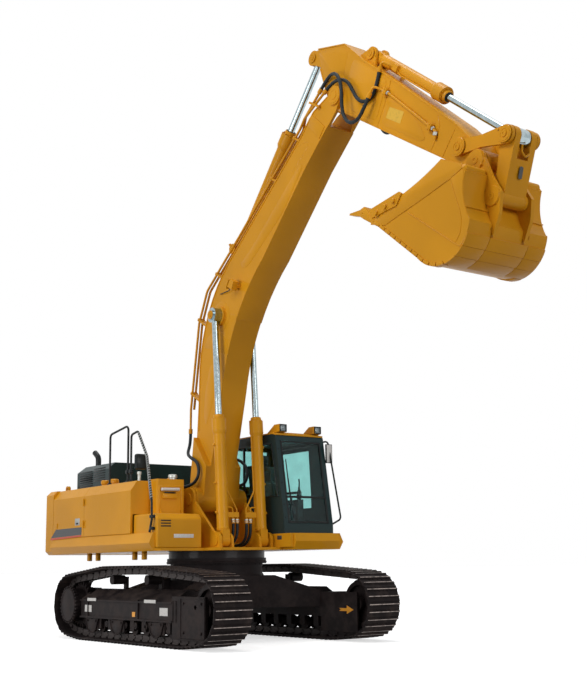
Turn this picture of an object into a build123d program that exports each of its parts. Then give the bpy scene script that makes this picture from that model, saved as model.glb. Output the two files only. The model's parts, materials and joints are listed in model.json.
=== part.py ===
from build123d import *
import os
from math import acos, atan2, cos, degrees, hypot, pi, radians, sin, tan

# Crawler excavator, 36 t class, standing with its boom raised and its bucket curled.
# X points forward, Y to the machine's left and Z up, all in millimetres.
# Heights are from the ground. Lengths along X are from the slewing axis, which
# lies at x = slew_x, so that the origin is under the middle of the whole machine.

slew_x = -1626          # slewing axis, from the origin
gap = 0.3               # running clearance of fitted faces
play = 6                # side clearance of a moving part

# ---- undercarriage
gauge = 2590            # between the middles of the two tracks
shoe_width = 600
shoe_count = 50
shoe_plate = 14
rib_height = 28
rib_base = 34
rib_tip = 8
link_height = 92
link_outer = 105        # outer face of a link, from the middle of the track
link_inner = 56
end_wheel_x = 2005      # sprocket behind and idler in front of the slewing axis
end_wheel_z = 530
tread_radius = 443      # inner face of the shoes round sprocket and idler
ground_half = 1580      # flat part of the track on the ground
carrier_xs = (-800, 300)
top_run_z = 1130        # rib tips over the carrier rollers
roller_count = 8
roller_first_x = -1420
roller_pitch = 352
roller_radius = 98
carrier_radius = 70
link_sag = 6            # straight links pass this much under the corners of their path
roller_shaft = 30
frame_half = 180        # half width of a track frame
frame_bottom = 340
frame_side_top = 620
frame_top = 780
frame_rear_x = -1700
frame_front_x = 1190
guard_front_x = 2060
guard_bottom = 120
guard_top = 700
guard_plate = 30
sprocket_half = 42
sprocket_teeth = 24
drive_radius = 262
bearing_radius = 770
bearing_bore = 560
bearing_bottom = 1140
bearing_split = 1225
carbody_bottom = 480

# ---- upper frame and house
deck_bottom = 1335
deck_top = 1375
side_y = 1450           # outer face of the side covers
ridge_y = 1500          # ridge of the side skirts
skirt_top = 1600
cover_edge = 2250       # where the side covers turn in
cover_top = 2400
cover_slope = 110       # width of the sloped edge of the side covers
sheet = 40              # thickness of covers and doors
cover_inner_y = 640     # inner edges of the covers, beside the boom
counterweight_x = -2900
split_x = -1712         # between the rear and front side covers
cover_front_x = -130
tail_x = -3480
tail_corner_x = -3240
deck_front_x = 1000
web_y = 440             # inner faces of the boom brackets
web_plate = 45
web_cap = 14
foot_pin = 110          # pin of the boom foot, diameter
cylinder_pin = 90
cylinder_y = 345        # middle planes of the boom cylinders
leaf_length = 60        # door hinges
leaf_plate = 5
knuckle_out = 16        # from the face of the door to the axis of its hinge
knuckle_radius = 12
knuckle_half = 30
hinge_pin = 6
door_hinges = (1800, 2150)
cab_door_hinges = (1900, 2800)
hood_hinges = (-500, 500)
lug_x = -3190           # lifting eyes on the counterweight
lug_y = 1050
lug_plate = 50
lug_bore = 60
hood_front_x = -1850
hood_rear_x = -3050
hood_right_y = -950
hood_left_y = 1250
hood_bottom = 2420
hood_top = 2840
hood_bevel = 110
hood_sheet = 30
bulkhead_x = -715

# ---- cab
cab_right_y = 505
cab_left_y = 1440
cab_floor = 1580
cab_roof = 3130
cab_rear_x = -520
cab_front_x = 1120
cab_brow_x = 900        # front edge of the roof
cab_wall = 50
door_rear_x = -330
door_front_x = 640
door_top = 2990
pane = 8

# ---- pins of the working equipment, with the slewing axis as x = 0
boom_foot = (-50, 2130)
boom_cylinder_foot = (730, 1480)
boom_length = 6500
boom_angle = 57
arm_length = 3235
arm_angle = -34
bucket_reach = 1950     # bucket pin to tooth tips
bucket_angle = 186.2
# pins in a member's own frame: along it from its first pin, and across it
boom_rod_pin = (2680, 1086)
arm_cylinder_foot = (3698, 1448)
arm_rod_pin = (-970, 346)
bucket_cylinder_foot = (337, 698)
rocker_pin = (arm_length - 423, 53)
link_top = (arm_length + 252, 412)
link_bottom = (arm_length + 476, -287)

work_lamp = (3281, 878)

boom_half = 230
boom_fork_inner = 186
boom_fork_depth = 430   # from the arm pin back to the root of the fork
arm_half = 180
arm_pin = 100
arm_boss = 225          # half width of the arm at the bucket pin
bucket_pin = 90
rocker_inner = 190
rocker_plate = 42
link_half = 180
link_plate = 90         # thickness of each cheek of the bucket link
rod_eye_half = 78
ear_inner = 236         # bucket ears
ear_plate = 50
bucket_half = 650
bucket_wall = 30

# ---- cylinders: barrel radius, bore radius, rod radius, gland radius, barrel length
boom_barrel = dict(
    outer=90, bore=75, rod=50, gland=108, length=1850, rod_length=1890, foot=95, foot_half=68, eye=118, eye_half=62,
)
arm_barrel = dict(
    outer=100, bore=82, rod=53, gland=122, length=2000, rod_length=2180, foot=100, foot_half=78, eye=105, eye_half=78,
)
bucket_barrel = dict(
    outer=82, bore=66, rod=45, gland=115, length=1657, rod_length=1700, foot=78, foot_half=76, eye=112,
    eye_half=rod_eye_half,
)
barrel_start = 150      # from the foot pin to the round part of a barrel

# ---- steel pipes and hoses
boom_pipe = 19          # radii
arm_pipe = 17
barrel_pipe = 11
hose_radius = 25
thin_hose = 22
ferrule_wall = 7        # a ferrule stands this much outside its hose
ferrule = 75            # length of the fitting between a pipe and its hose
pipe_spots = (130, 190) # pipes along the back of the boom, from its middle
pipe_clear = 252        # outer pipe beside the fork, from the middle of the boom
inner_clear = 214       # inner pipe beside the arm
port_spots = (84, 157)  # hose ends between the boom cylinders, from the middle
port_block = (300, 400) # block on the deck that these hoses lead to
union_x = bulkhead_x + 70       # unions on the bulkhead for the hoses behind the boom's foot
union_y = 455
union_z = cover_top - 80

os.makedirs("parts", exist_ok=True)


# ---------------------------------------------------------------- frames and helpers
def turned(pin, offset, angle):
    """The place of a point that lies at offset in a frame at pin, turned by angle."""
    c = cos(radians(angle))
    s = sin(radians(angle))
    return (pin[0] + offset[0] * c - offset[1] * s, pin[1] + offset[0] * s + offset[1] * c)


def side_plane(pin=(0, 0), angle=0, y=0):
    """A plane whose x and y lie in the machine's side view."""
    return Plane(
        origin=(slew_x + pin[0], y, pin[1]),
        x_dir=(cos(radians(angle)), 0, sin(radians(angle))),
        z_dir=(0, -1, 0),
    )


arm_foot = turned(boom_foot, (boom_length, 0), boom_angle)
bucket_foot = turned(arm_foot, (arm_length, 0), arm_angle)
boom_rod_eye = turned(boom_foot, boom_rod_pin, boom_angle)
arm_barrel_foot = turned(boom_foot, arm_cylinder_foot, boom_angle)
arm_rod_eye = turned(arm_foot, arm_rod_pin, arm_angle)
bucket_barrel_foot = turned(arm_foot, bucket_cylinder_foot, arm_angle)
rocker_foot = turned(arm_foot, rocker_pin, arm_angle)
link_eye = turned(arm_foot, link_top, arm_angle)
link_foot = turned(arm_foot, link_bottom, arm_angle)


def angle_between(start, end):
    return degrees(atan2(end[1] - start[1], end[0] - start[0]))


def distance(start, end):
    return hypot(end[0] - start[0], end[1] - start[1])


def side_prism(plane, points, y_low, y_high, mode=Mode.ADD):
    """A plate with the given outline in a side plane, from y_low to y_high."""
    with BuildSketch(plane) as outline:
        Polygon(*points, align=None)
    with_width(outline.sketch, y_low, y_high, mode)


def with_width(faces, y_low, y_high, mode=Mode.ADD):
    """Extrude faces of the plane y = 0 across the machine, from y_low to y_high."""
    placed = [face.moved(Location((0, y_high, 0))) for face in faces.faces()]
    extrude(placed, amount=y_high - y_low, dir=(0, -1, 0), mode=mode)


def disc(plane, centre, radius, y_low, y_high, mode=Mode.ADD):
    """A pin, boss or bore across the machine."""
    with BuildSketch(plane) as outline:
        with Locations(centre):
            Circle(radius)
    with_width(outline.sketch, y_low, y_high, mode)


def slab(x_low, x_high, y_low, y_high, z_low, z_high, mode=Mode.ADD):
    """A box between the given limits, with x from the slewing axis."""
    with Locations((slew_x + (x_low + x_high) / 2, (y_low + y_high) / 2, (z_low + z_high) / 2)):
        Box(x_high - x_low, y_high - y_low, z_high - z_low, mode=mode)


def top_prism(points, z_low, z_high, mode=Mode.ADD):
    """A plate with the given plan, from z_low to z_high."""
    with BuildSketch(Plane((slew_x, 0, z_low))) as plan:
        Polygon(*points, align=None)
    extrude(plan.sketch, amount=z_high - z_low, dir=(0, 0, 1), mode=mode)


def front_prism(points, x_low, x_high, mode=Mode.ADD):
    """A bar with the given cross section of y and z, from x_low to x_high."""
    with BuildSketch(Plane((slew_x + x_low, 0, 0), x_dir=(0, 1, 0), z_dir=(1, 0, 0))) as section:
        Polygon(*points, align=None)
    extrude(section.sketch, amount=x_high - x_low, dir=(1, 0, 0), mode=mode)


def tube(points, radius, bend):
    """A bent round pipe through the given points of the machine, x from the slewing axis."""
    with BuildLine() as path:
        FilletPolyline(*[(slew_x + x, y, z) for x, y, z in points], radius=bend)
    with BuildSketch(Plane(origin=path.line @ 0, z_dir=path.line % 0)) as section:
        Circle(radius)
    sweep(section.sketch, path=path.line)


def round_bar(start, end, radius, mode=Mode.ADD):
    """A round bar from one point of the machine to another."""
    low = Vector(slew_x + start[0], start[1], start[2])
    high = Vector(slew_x + end[0], end[1], end[2])
    with BuildSketch(Plane(origin=low, z_dir=high - low)) as section:
        Circle(radius)
    extrude(section.sketch, amount=(high - low).length, mode=mode)


def boom_point(x, y, across):
    """A point of the machine, given in the boom's own frame."""
    place = turned(boom_foot, (x, y), boom_angle)
    return (place[0], across, place[1])


def arm_point(x, y, across):
    """A point of the machine, given in the arm's own frame."""
    place = turned(arm_foot, (x, y), arm_angle)
    return (place[0], across, place[1])


def stepped(start, toward, length):
    """The point that lies at length from start on the way to another."""
    low = Vector(*start)
    place = low + (Vector(*toward) - low).normalized() * length
    return (place.X, place.Y, place.Z)


def beyond(before, end, length):
    """The point that lies at length past end, on the line that comes from before."""
    return stepped(end, before, -length)


def hose(points, radius, name):
    """A hose of straight runs joined by arcs as large as the runs allow."""
    places = [Vector(slew_x + x, y, z) for x, y, z in points]
    runs = [end - start for start, end in zip(places, places[1:])]
    bends = []
    for run, following in zip(runs, runs[1:]):
        half_turn = radians(run.get_angle(following)) / 2
        bends.append(0.45 * min(run.length, following.length) / tan(half_turn))
    with BuildPart() as piece:
        with BuildLine() as path:
            FilletPolyline(*places, radius=bends)
        with BuildSketch(Plane(origin=path.line @ 0, z_dir=path.line % 0)) as section:
            Circle(radius)
        sweep(section.sketch, path=path.line)
    length = path.wire().length
    share = piece.part.volume / (pi * radius * radius * length)
    print(name, "length", round(length), "runs", [round(run.length) for run in runs])
    print("    radii", [round(bend) for bend in bends], "volume / section x length", round(share, 4))
    write(piece.part, name)
    return piece


def post(x, y, radius, z_low, z_high, mode=Mode.ADD):
    """An upright pin or knuckle."""
    with BuildSketch(Plane((slew_x + x, y, z_low))) as round_post:
        Circle(radius)
    extrude(round_post.sketch, amount=z_high - z_low, mode=mode)


def hinge_leaf(x, face_y, side, toward, z_low, z_high):
    """The leaf of a door hinge, flat on an outer face, towards the front (1) or rear (-1)."""
    x_low, x_high = sorted((x + toward * 3, x + toward * leaf_length))
    y_low, y_high = sorted((face_y, face_y + side * leaf_plate))
    slab(x_low, x_high, y_low, y_high, z_low, z_high)
    post_y = face_y + side * knuckle_out
    y_low, y_high = sorted((face_y, post_y))
    x_low, x_high = sorted((x + toward * 3, x + toward * knuckle_radius))
    slab(x_low, x_high, y_low, y_high, z_low, z_high)
    post(x, post_y, knuckle_radius, z_low, z_high)


def hinge_moving(x, face_y, side, toward, heights):
    """The door's half of its hinges: a leaf with the middle knuckle, bored for the pin."""
    for z in heights:
        hinge_leaf(x, face_y, side, toward, z - knuckle_half, z + knuckle_half)
        post(x, face_y + side * knuckle_out, hinge_pin + gap, z - 2 * knuckle_half, z + 2 * knuckle_half, Mode.SUBTRACT)


def hinge_fixed(x, face_y, side, toward, heights):
    """The frame's half: a knuckle below and above the door's, with the pin through all three."""
    for z in heights:
        hinge_leaf(x, face_y, side, toward, z - 2 * knuckle_half, z - knuckle_half - gap)
        hinge_leaf(x, face_y, side, toward, z + knuckle_half + gap, z + 2 * knuckle_half)
        post(x, face_y + side * knuckle_out, hinge_pin, z - 2 * knuckle_half, z + 2 * knuckle_half)


def write(part, name):
    part.label = name
    export_step(part, "parts/" + name + ".step")


def write_pair(part, name):
    """The right piece as built, and the left one as its mirror image."""
    write(part, name + "_right")
    with BuildPart() as other:
        mirror(part, about=Plane.XZ)
    write(other.part, name + "_left")


machine = side_plane()
boom_plane = side_plane(boom_foot, boom_angle)
arm_plane = side_plane(arm_foot, arm_angle)
bucket_plane = side_plane(bucket_foot, bucket_angle)
track_y = -gauge / 2    # the right track


# ---------------------------------------------------------------- tracks
def tangent_point(point, centre, radius, turn):
    """Where a line from point touches a wheel; turn picks the side."""
    reach = distance(point, centre)
    swing = acos(radius / reach) * turn
    start = atan2(point[1] - centre[1], point[0] - centre[0])
    return (centre[0] + radius * cos(start + swing), centre[1] + radius * sin(start + swing))


def track_path():
    """The closed line of the outer faces of the shoe plates, from the rear of the ground run."""
    radius = tread_radius + shoe_plate
    sprocket = (-end_wheel_x, end_wheel_z)
    idler = (end_wheel_x, end_wheel_z)
    rear = (-ground_half, rib_height)
    front = (ground_half, rib_height)
    high_z = top_run_z - rib_height
    carriers = [(x, high_z) for x in carrier_xs]
    front_low = tangent_point(front, idler, radius, 1)
    front_high = tangent_point(carriers[1], idler, radius, -1)
    rear_high = tangent_point(carriers[0], sprocket, radius, 1)
    rear_low = tangent_point(rear, sprocket, radius, -1)
    with BuildLine() as path:
        Polyline(rear, front, front_low)
        ThreePointArc(front_low, (end_wheel_x + radius, end_wheel_z), front_high)
        Polyline(front_high, carriers[1], carriers[0], rear_high)
        ThreePointArc(rear_high, (-end_wheel_x - radius, end_wheel_z), rear_low)
        Line(rear_low, rear)
    return path.wire()


shoe_joints = [track_path().position_at(i / shoe_count) for i in range(shoe_count)]


def loop_outline(profile):
    """The side outline of the track loop, from one shoe's points: share of its length, height."""
    points = []
    for i, start in enumerate(shoe_joints):
        end = shoe_joints[(i + 1) % shoe_count]
        along = (end - start).normalized()
        outward = Vector(along.Y, -along.X)
        length = (end - start).length
        for share, offset, height in profile:
            place = start + along * (share * length + offset) + outward * height
            points.append((place.X, place.Y))
    return points


rib_outline = [(0, 0, 0)]
for rib_share in (0.25, 0.75):
    rib_outline += [
        (rib_share, -rib_base / 2, 0),
        (rib_share, -rib_tip / 2, rib_height),
        (rib_share, rib_tip / 2, rib_height),
        (rib_share, rib_base / 2, 0),
    ]

with BuildPart() as track:
    side_prism(machine, loop_outline(rib_outline), track_y - shoe_width / 2, track_y + shoe_width / 2)
    inner_points = loop_outline([(0, 0, -shoe_plate)])
    side_prism(machine, inner_points, track_y - shoe_width / 2, track_y + shoe_width / 2, Mode.SUBTRACT)
    for low, high in ((link_inner, link_outer), (-link_outer, -link_inner)):
        with BuildSketch(machine) as links:
            Polygon(*inner_points, align=None)
            Polygon(*loop_outline([(0, 0, -shoe_plate - link_height)]), align=None, mode=Mode.SUBTRACT)
        with_width(links.sketch, track_y + low, track_y + high)
write_pair(track.part, "track")

rail_radius = tread_radius - link_height
rail_z = rib_height + shoe_plate + link_height
carrier_z = top_run_z - rail_z - carrier_radius - link_sag
roller_z = rail_z + roller_radius + gap
# flat shoes round a wheel come nearer its centre at their middles
shoe_pitch = (shoe_joints[1] - shoe_joints[0]).length
wheel_radius = (rail_radius**2 - (shoe_pitch / 2) ** 2) ** 0.5 - 2

with BuildPart() as sprocket:
    tooth_root = wheel_radius - 20
    tooth_tip = wheel_radius + 48
    step = 360 / sprocket_teeth
    tooth_points = []
    for i in range(sprocket_teeth):
        for radius, share in ((tooth_root, -0.28), (tooth_tip, -0.1), (tooth_tip, 0.1), (tooth_root, 0.28)):
            turn = radians((i + share) * step)
            tooth_points.append((radius * cos(turn), radius * sin(turn)))
    with BuildSketch(side_plane((-end_wheel_x, end_wheel_z))) as wheel:
        Polygon(*tooth_points, align=None)
        Circle(drive_radius + gap, mode=Mode.SUBTRACT)
    with_width(wheel.sketch, track_y - sprocket_half, track_y + sprocket_half)
write_pair(sprocket.part, "sprocket")

with BuildPart() as final_drive:
    drive_plane = side_plane((-end_wheel_x, end_wheel_z))
    drive_outer_y = track_y - 235
    drive_inner_y = track_y + frame_half - guard_plate
    disc(drive_plane, (0, 0), drive_radius, drive_outer_y, drive_inner_y)
    disc(drive_plane, (0, 0), drive_radius + 40, track_y + sprocket_half + gap, track_y + sprocket_half + 40)
    disc(drive_plane, (0, 0), drive_radius - 60, drive_outer_y - 20, drive_outer_y)
    chamfer(final_drive.faces().sort_by(Axis.Y)[0].edges(), 12)
write_pair(final_drive.part, "final_drive")

with BuildPart() as idler:
    rim = wheel_radius
    with BuildSketch(side_plane((end_wheel_x, end_wheel_z))) as wheel:
        Circle(rim)
    with_width(wheel.sketch, track_y - link_outer, track_y + link_outer)
    for low, high in ((-link_outer, -link_outer + 60), (link_outer - 60, link_outer)):
        disc(side_plane((end_wheel_x, end_wheel_z)), (0, 0), rim - 60, track_y + low, track_y + high, Mode.SUBTRACT)
    disc(side_plane((end_wheel_x, end_wheel_z)), (0, 0), rim + 30, track_y - 48, track_y + 48)
    disc(side_plane((end_wheel_x, end_wheel_z)), (0, 0), 95, track_y - 130, track_y + 130)
    shaft_reach = frame_half - guard_plate
    disc(side_plane((end_wheel_x, end_wheel_z)), (0, 0), 50, track_y - shaft_reach, track_y + shaft_reach)
write_pair(idler.part, "idler")

with BuildPart() as rollers:
    for i in range(roller_count):
        spot = (roller_first_x + i * roller_pitch, roller_z)
        for low, high, radius in (
            (-link_outer, -50, roller_radius),
            (50, link_outer, roller_radius),
            (-50, 50, roller_radius - 22),
            (-120, -link_outer, roller_radius + 7),
            (link_outer, 120, roller_radius + 7),
            (-168, 168, roller_shaft),
        ):
            disc(machine, spot, radius, track_y + low, track_y + high)
        for low in (-168, 128):
            slab(spot[0] - 60, spot[0] + 60, track_y + low, track_y + low + 40, roller_z - 42, frame_bottom)
    for x in carrier_xs:
        spot = (x, carrier_z)
        disc(machine, spot, carrier_radius, track_y - link_outer, track_y + link_outer)
        disc(machine, spot, roller_shaft, track_y - link_outer, track_y + 168)
        slab(x - 45, x + 45, track_y + 125, track_y + 168, frame_top, carrier_z + 45)
write_pair(rollers.part, "rollers")

# ---------------------------------------------------------------- track frames and carbody
with BuildPart() as track_frame:
    beam = [
        (track_y - frame_half, frame_bottom),
        (track_y + frame_half, frame_bottom),
        (track_y + frame_half, frame_top),
        (track_y + 60, frame_top),
        (track_y - frame_half, frame_side_top),
    ]
    front_prism(beam, frame_rear_x, frame_front_x)
    for z in (frame_bottom, frame_side_top - 26):
        slab(frame_rear_x, frame_front_x, track_y - frame_half - 22, track_y - frame_half, z, z + 26)
    # the plates that hold the idler and guard the track in front
    for y in (track_y - frame_half - 12, track_y + frame_half - guard_plate):
        width = guard_plate + 12 if y < track_y else guard_plate
        slab(frame_front_x, guard_front_x, y, y + width, guard_bottom, guard_top)
    slab(frame_front_x, frame_front_x + 260, track_y - frame_half, track_y + frame_half, frame_bottom, guard_top)
    disc(machine, (guard_front_x - 250, 560), 32, track_y - frame_half - 20, track_y - frame_half + 40, Mode.SUBTRACT)
    # the plate that carries the final drive
    inner = (track_y + frame_half - guard_plate, track_y + frame_half)
    slab(-end_wheel_x, frame_rear_x, inner[0], inner[1], end_wheel_z - drive_radius, end_wheel_z + drive_radius)
    disc(side_plane((-end_wheel_x, end_wheel_z)), (0, 0), drive_radius, inner[0], inner[1])
    rear_slot_x = -end_wheel_x + wheel_radius + 70
    slab(frame_rear_x - 1, rear_slot_x, track_y - 62, track_y + 62, frame_bottom - 1, frame_top + 1, Mode.SUBTRACT)
    # roller guards
    for x in (-1180, -330, 870):
        slab(x - 95, x + 95, track_y - frame_half, track_y - frame_half + 12, guard_bottom + 40, frame_bottom)
write_pair(track_frame.part, "track_frame")

carbody_half = 1170
side_join_y = gauge / 2 - frame_half
with BuildPart() as carbody:
    plan = [
        (carbody_half, side_join_y), (carbody_half - 420, side_join_y), (430, 560), (-430, 560),
        (-carbody_half + 420, side_join_y), (-carbody_half, side_join_y),
        (-720, 330), (-720, -330),
        (-carbody_half, -side_join_y), (-carbody_half + 420, -side_join_y), (-430, -560), (430, -560),
        (carbody_half - 420, -side_join_y), (carbody_half, -side_join_y), (720, -330), (720, 330),
    ]
    top_prism(plan, carbody_bottom, 1000)
    roof = [
        (-side_join_y, carbody_bottom - 10), (side_join_y, carbody_bottom - 10), (side_join_y, 730),
        (520, 960), (-520, 960), (-side_join_y, 730),
    ]
    front_prism(roof, -carbody_half, carbody_half, Mode.INTERSECT)
    with BuildSketch(Plane((slew_x, 0, 900))) as drum:
        Circle(bearing_radius - 60)
    extrude(drum.sketch, amount=bearing_bottom - 900)
write(carbody.part, "carbody")

with BuildPart() as swing_bearing:
    with BuildSketch(Plane((slew_x, 0, bearing_bottom))) as ring:
        Circle(bearing_radius)
        Circle(bearing_bore, mode=Mode.SUBTRACT)
    extrude(ring.sketch, amount=bearing_split - gap - bearing_bottom)
write(swing_bearing.part, "swing_bearing")

# ---------------------------------------------------------------- upper frame
with BuildPart() as main_frame:
    rim_y = side_y - 50
    plan = [
        (counterweight_x, -rim_y), (540, -rim_y), (600, -rim_y + 60), (600, -620),
        (deck_front_x, -560), (deck_front_x, 560), (1275, 560), (1275, rim_y), (counterweight_x, rim_y),
    ]
    top_prism(plan, deck_bottom, deck_top)
    with BuildSketch(Plane((slew_x, 0, bearing_split))) as ring:
        Circle(bearing_radius - 25)
        Circle(bearing_bore, mode=Mode.SUBTRACT)
    extrude(ring.sketch, amount=deck_bottom - bearing_split)
    # side skirts with their ridges
    for side in (-1, 1):
        skirt = [
            (side * rim_y, deck_bottom), (side * (side_y - 20), deck_bottom), (side * ridge_y, 1450),
            (side * (side_y - 15), skirt_top), (side * rim_y, skirt_top),
        ]
        front_prism(skirt, counterweight_x, 540 if side < 0 else -560)
    # deck and skirt under the cab
    slab(-560, 1275, cab_right_y, rim_y, deck_top, cab_floor - gap)
    prow = [(1275, deck_bottom), (1290, deck_bottom), (1335, 1460), (1290, cab_floor - gap), (1275, cab_floor - gap)]
    side_prism(machine, prow, 560, rim_y)
    cab_skirt = [
        (rim_y, deck_bottom), (side_y - 20, deck_bottom), (ridge_y, 1450),
        (side_y - 15, cab_floor - gap), (rim_y, cab_floor - gap),
    ]
    front_prism(cab_skirt, -560, 1290)
    # boom brackets: outer webs with the foot pin, inner ears for the boom cylinders
    foot = boom_foot
    hook = boom_cylinder_foot
    web = [
        (-700, deck_top), (foot[0] - 165, foot[1] - 60), (foot[0], foot[1]), (foot[0] + 175, foot[1] - 40),
        (hook[0] - 80, hook[1] + 150), (hook[0] + 110, hook[1] + 60), (hook[0] + 125, deck_top),
    ]
    for side in (-1, 1):
        low, high = sorted((side * web_y, side * (web_y + web_plate)))
        side_prism(machine, web, low, high)
        disc(machine, foot, 175, low, high)
        disc(machine, hook, 125, low, high)
        cap_low, cap_high = sorted((side * (web_y + web_plate), side * (web_y + web_plate + web_cap)))
        disc(machine, foot, 90, cap_low, cap_high)
        disc(machine, hook, 75, cap_low, cap_high)
        ear_low, ear_high = sorted((side * (cylinder_y - 75), side * (cylinder_y - 115)))
        ear = [(hook[0] - 170, deck_top), (hook[0] - 110, hook[1]), (hook[0] + 110, hook[1]), (hook[0] + 120, deck_top)]
        side_prism(machine, ear, ear_low, ear_high)
        disc(machine, hook, 110, ear_low, ear_high)
        pin_low, pin_high = sorted((side * (cylinder_y - 115), side * (web_y + web_plate)))
        disc(machine, hook, cylinder_pin / 2, pin_low, pin_high)
    disc(machine, foot, foot_pin / 2, -web_y, web_y)
    # block that the hoses of the boom cylinders lead to
    slab(port_block[0], port_block[1], -port_spots[1] - 60, port_spots[1] + 60, deck_top, deck_top + 75)
    # cross plate that ties the webs together under the boom foot
    slab(-700, -660, -web_y, web_y, deck_top, 1800)
write(main_frame.part, "main_frame")

with BuildPart() as counterweight:
    with BuildSketch(Plane((slew_x, 0, deck_bottom - 5))) as plan:
        with BuildLine():
            Line((counterweight_x, side_y), (tail_corner_x, side_y))
            ThreePointArc((tail_corner_x, side_y), (tail_x, 0), (tail_corner_x, -side_y))
            Line((tail_corner_x, -side_y), (counterweight_x, -side_y))
            Line((counterweight_x, -side_y), (counterweight_x, side_y))
        make_face()
        fillet(plan.vertices().group_by(Axis.X)[0], 110)
    extrude(plan.sketch, amount=cover_top + 10 - deck_bottom)
    rear_edges = counterweight.faces().sort_by(Axis.Z)[-1].edges().filter_by(lambda e: e.center().X < slew_x + counterweight_x - 20)
    chamfer(rear_edges, 70)
    low_edges = counterweight.faces().sort_by(Axis.Z)[0].edges().filter_by(lambda e: e.center().X < slew_x + counterweight_x - 20)
    chamfer(low_edges, 60)
    # lifting eyes
    for y in (-lug_y, lug_y):
        lug = [(lug_x - 90, cover_top + 5), (lug_x + 90, cover_top + 5), (lug_x, cover_top + 105)]
        side_prism(machine, lug, y - lug_plate / 2, y + lug_plate / 2)
        disc(machine, (lug_x, cover_top + 65), 52, y - lug_plate / 2, y + lug_plate / 2)
        disc(machine, (lug_x, cover_top + 65), lug_bore / 2, y - lug_plate, y + lug_plate, Mode.SUBTRACT)
write(counterweight.part, "counterweight")


# ---------------------------------------------------------------- covers, doors and tanks
def cover_section(side, inner_y):
    """Cross section of a side cover: side sheet, sloped edge and top sheet."""
    y = side * side_y
    turn = side * (side_y - cover_slope)
    return [
        (y, skirt_top + 3), (y, cover_edge), (turn, cover_top), (side * inner_y, cover_top),
        (side * inner_y, cover_top - sheet), (turn - side * 15, cover_top - sheet),
        (y - side * sheet, cover_edge - 15), (y - side * sheet, skirt_top + 3),
    ]


def side_door(side):
    with BuildPart() as door:
        front_prism(cover_section(side, side_y - 240), counterweight_x + 6, split_x - 3)
        low, high = sorted((side * side_y, side * (side_y + 12)))
        slab(counterweight_x + 80, counterweight_x + 180, low, high, 1760, 1850)
        hinge_moving(split_x, side * side_y, side, -1, door_hinges)
    return door.part


write(side_door(-1), "pump_door")
write(side_door(1), "radiator_door")

with BuildPart() as right_cover:
    front_prism(cover_section(-1, cover_inner_y), split_x + 3, cover_front_x)
    slab(cover_front_x - sheet, cover_front_x, -side_y + sheet, -1130, 1890, cover_edge - 40)
    with BuildSketch(Plane((slew_x + cover_front_x - sheet, 0, 0), x_dir=(0, 1, 0), z_dir=(1, 0, 0))) as end:
        Polygon(
            (-side_y, skirt_top + 300), (-side_y, cover_edge), (-side_y + cover_slope, cover_top),
            (-1130, cover_top), (-1130, skirt_top + 300), align=None,
        )
    extrude(end.sketch, amount=sheet, dir=(1, 0, 0))
    hinge_fixed(split_x, -side_y, -1, 1, door_hinges)
write(right_cover.part, "right_cover")

with BuildPart() as left_cover:
    front_prism(cover_section(1, cover_inner_y), split_x + 3, cab_rear_x - 60)
    hinge_fixed(split_x, side_y, 1, 1, door_hinges)
write(left_cover.part, "left_cover")

hinge_spot = (hood_front_x + knuckle_radius, hood_bottom + knuckle_radius)
with BuildPart() as top_cover:
    slab(hood_front_x, bulkhead_x, -cover_inner_y + gap, cover_inner_y - gap, cover_top - sheet, cover_top)
    for y in hood_hinges:
        for low in (y - 2 * knuckle_half, y + knuckle_half + gap):
            high = low + knuckle_half - gap
            slab(hinge_spot[0] - 10, hinge_spot[0] + 10, low, high, cover_top, hinge_spot[1])
            disc(machine, hinge_spot, knuckle_radius, low, high)
        disc(machine, hinge_spot, hinge_pin, y - 2 * knuckle_half, y + 2 * knuckle_half)
    slab(bulkhead_x - sheet, bulkhead_x, -cover_inner_y + gap, cover_inner_y - gap, deck_top, cover_top - sheet)
    for y in (-union_y, union_y):
        round_bar((bulkhead_x - 5, y, union_z), (union_x, y, union_z), hose_radius + ferrule_wall)
write(top_cover.part, "top_cover")

with BuildPart() as fuel_tank:
    slab(-780, 100, -1125, -640 - play, deck_top, cover_top - sheet)
    slab(cover_front_x + gap, 100, -1125, -640 - play, cover_top - sheet, cover_top + 20)
    fillet(fuel_tank.faces().sort_by(Axis.X)[-1].edges().filter_by(Axis.Z), 30)
write(fuel_tank.part, "fuel_tank")

with BuildPart() as oil_tank:
    slab(-1680, -830, -1300, -700, deck_top, cover_top - sheet - gap)
write(oil_tank.part, "oil_tank")

with BuildPart() as tool_box:
    nose = [(cover_front_x + 2, deck_top), (600, deck_top), (600, 1800), (520, 1880), (cover_front_x + 2, 1880)]
    side_prism(machine, nose, -side_y + 50, -1125 - gap)
    side_prism(machine, [(105, deck_top)] + nose[1:4] + [(105, 1880)], -1125 - gap, -640)
write(tool_box.part, "tool_box")

with BuildPart() as engine_block:
    slab(-2760, -1900, -560, 700, deck_top, 1560)
    slab(-2650, -2050, -520, 560, 1560, 2230)
    slab(-2700, -2000, 760, 900, deck_top, 2330)
    slab(-2600, -2100, 560, 760, 1700, 2050)
    slab(-2500, -2200, -900, -520, 1600, 1900)
write(engine_block.part, "engine_block")

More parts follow.
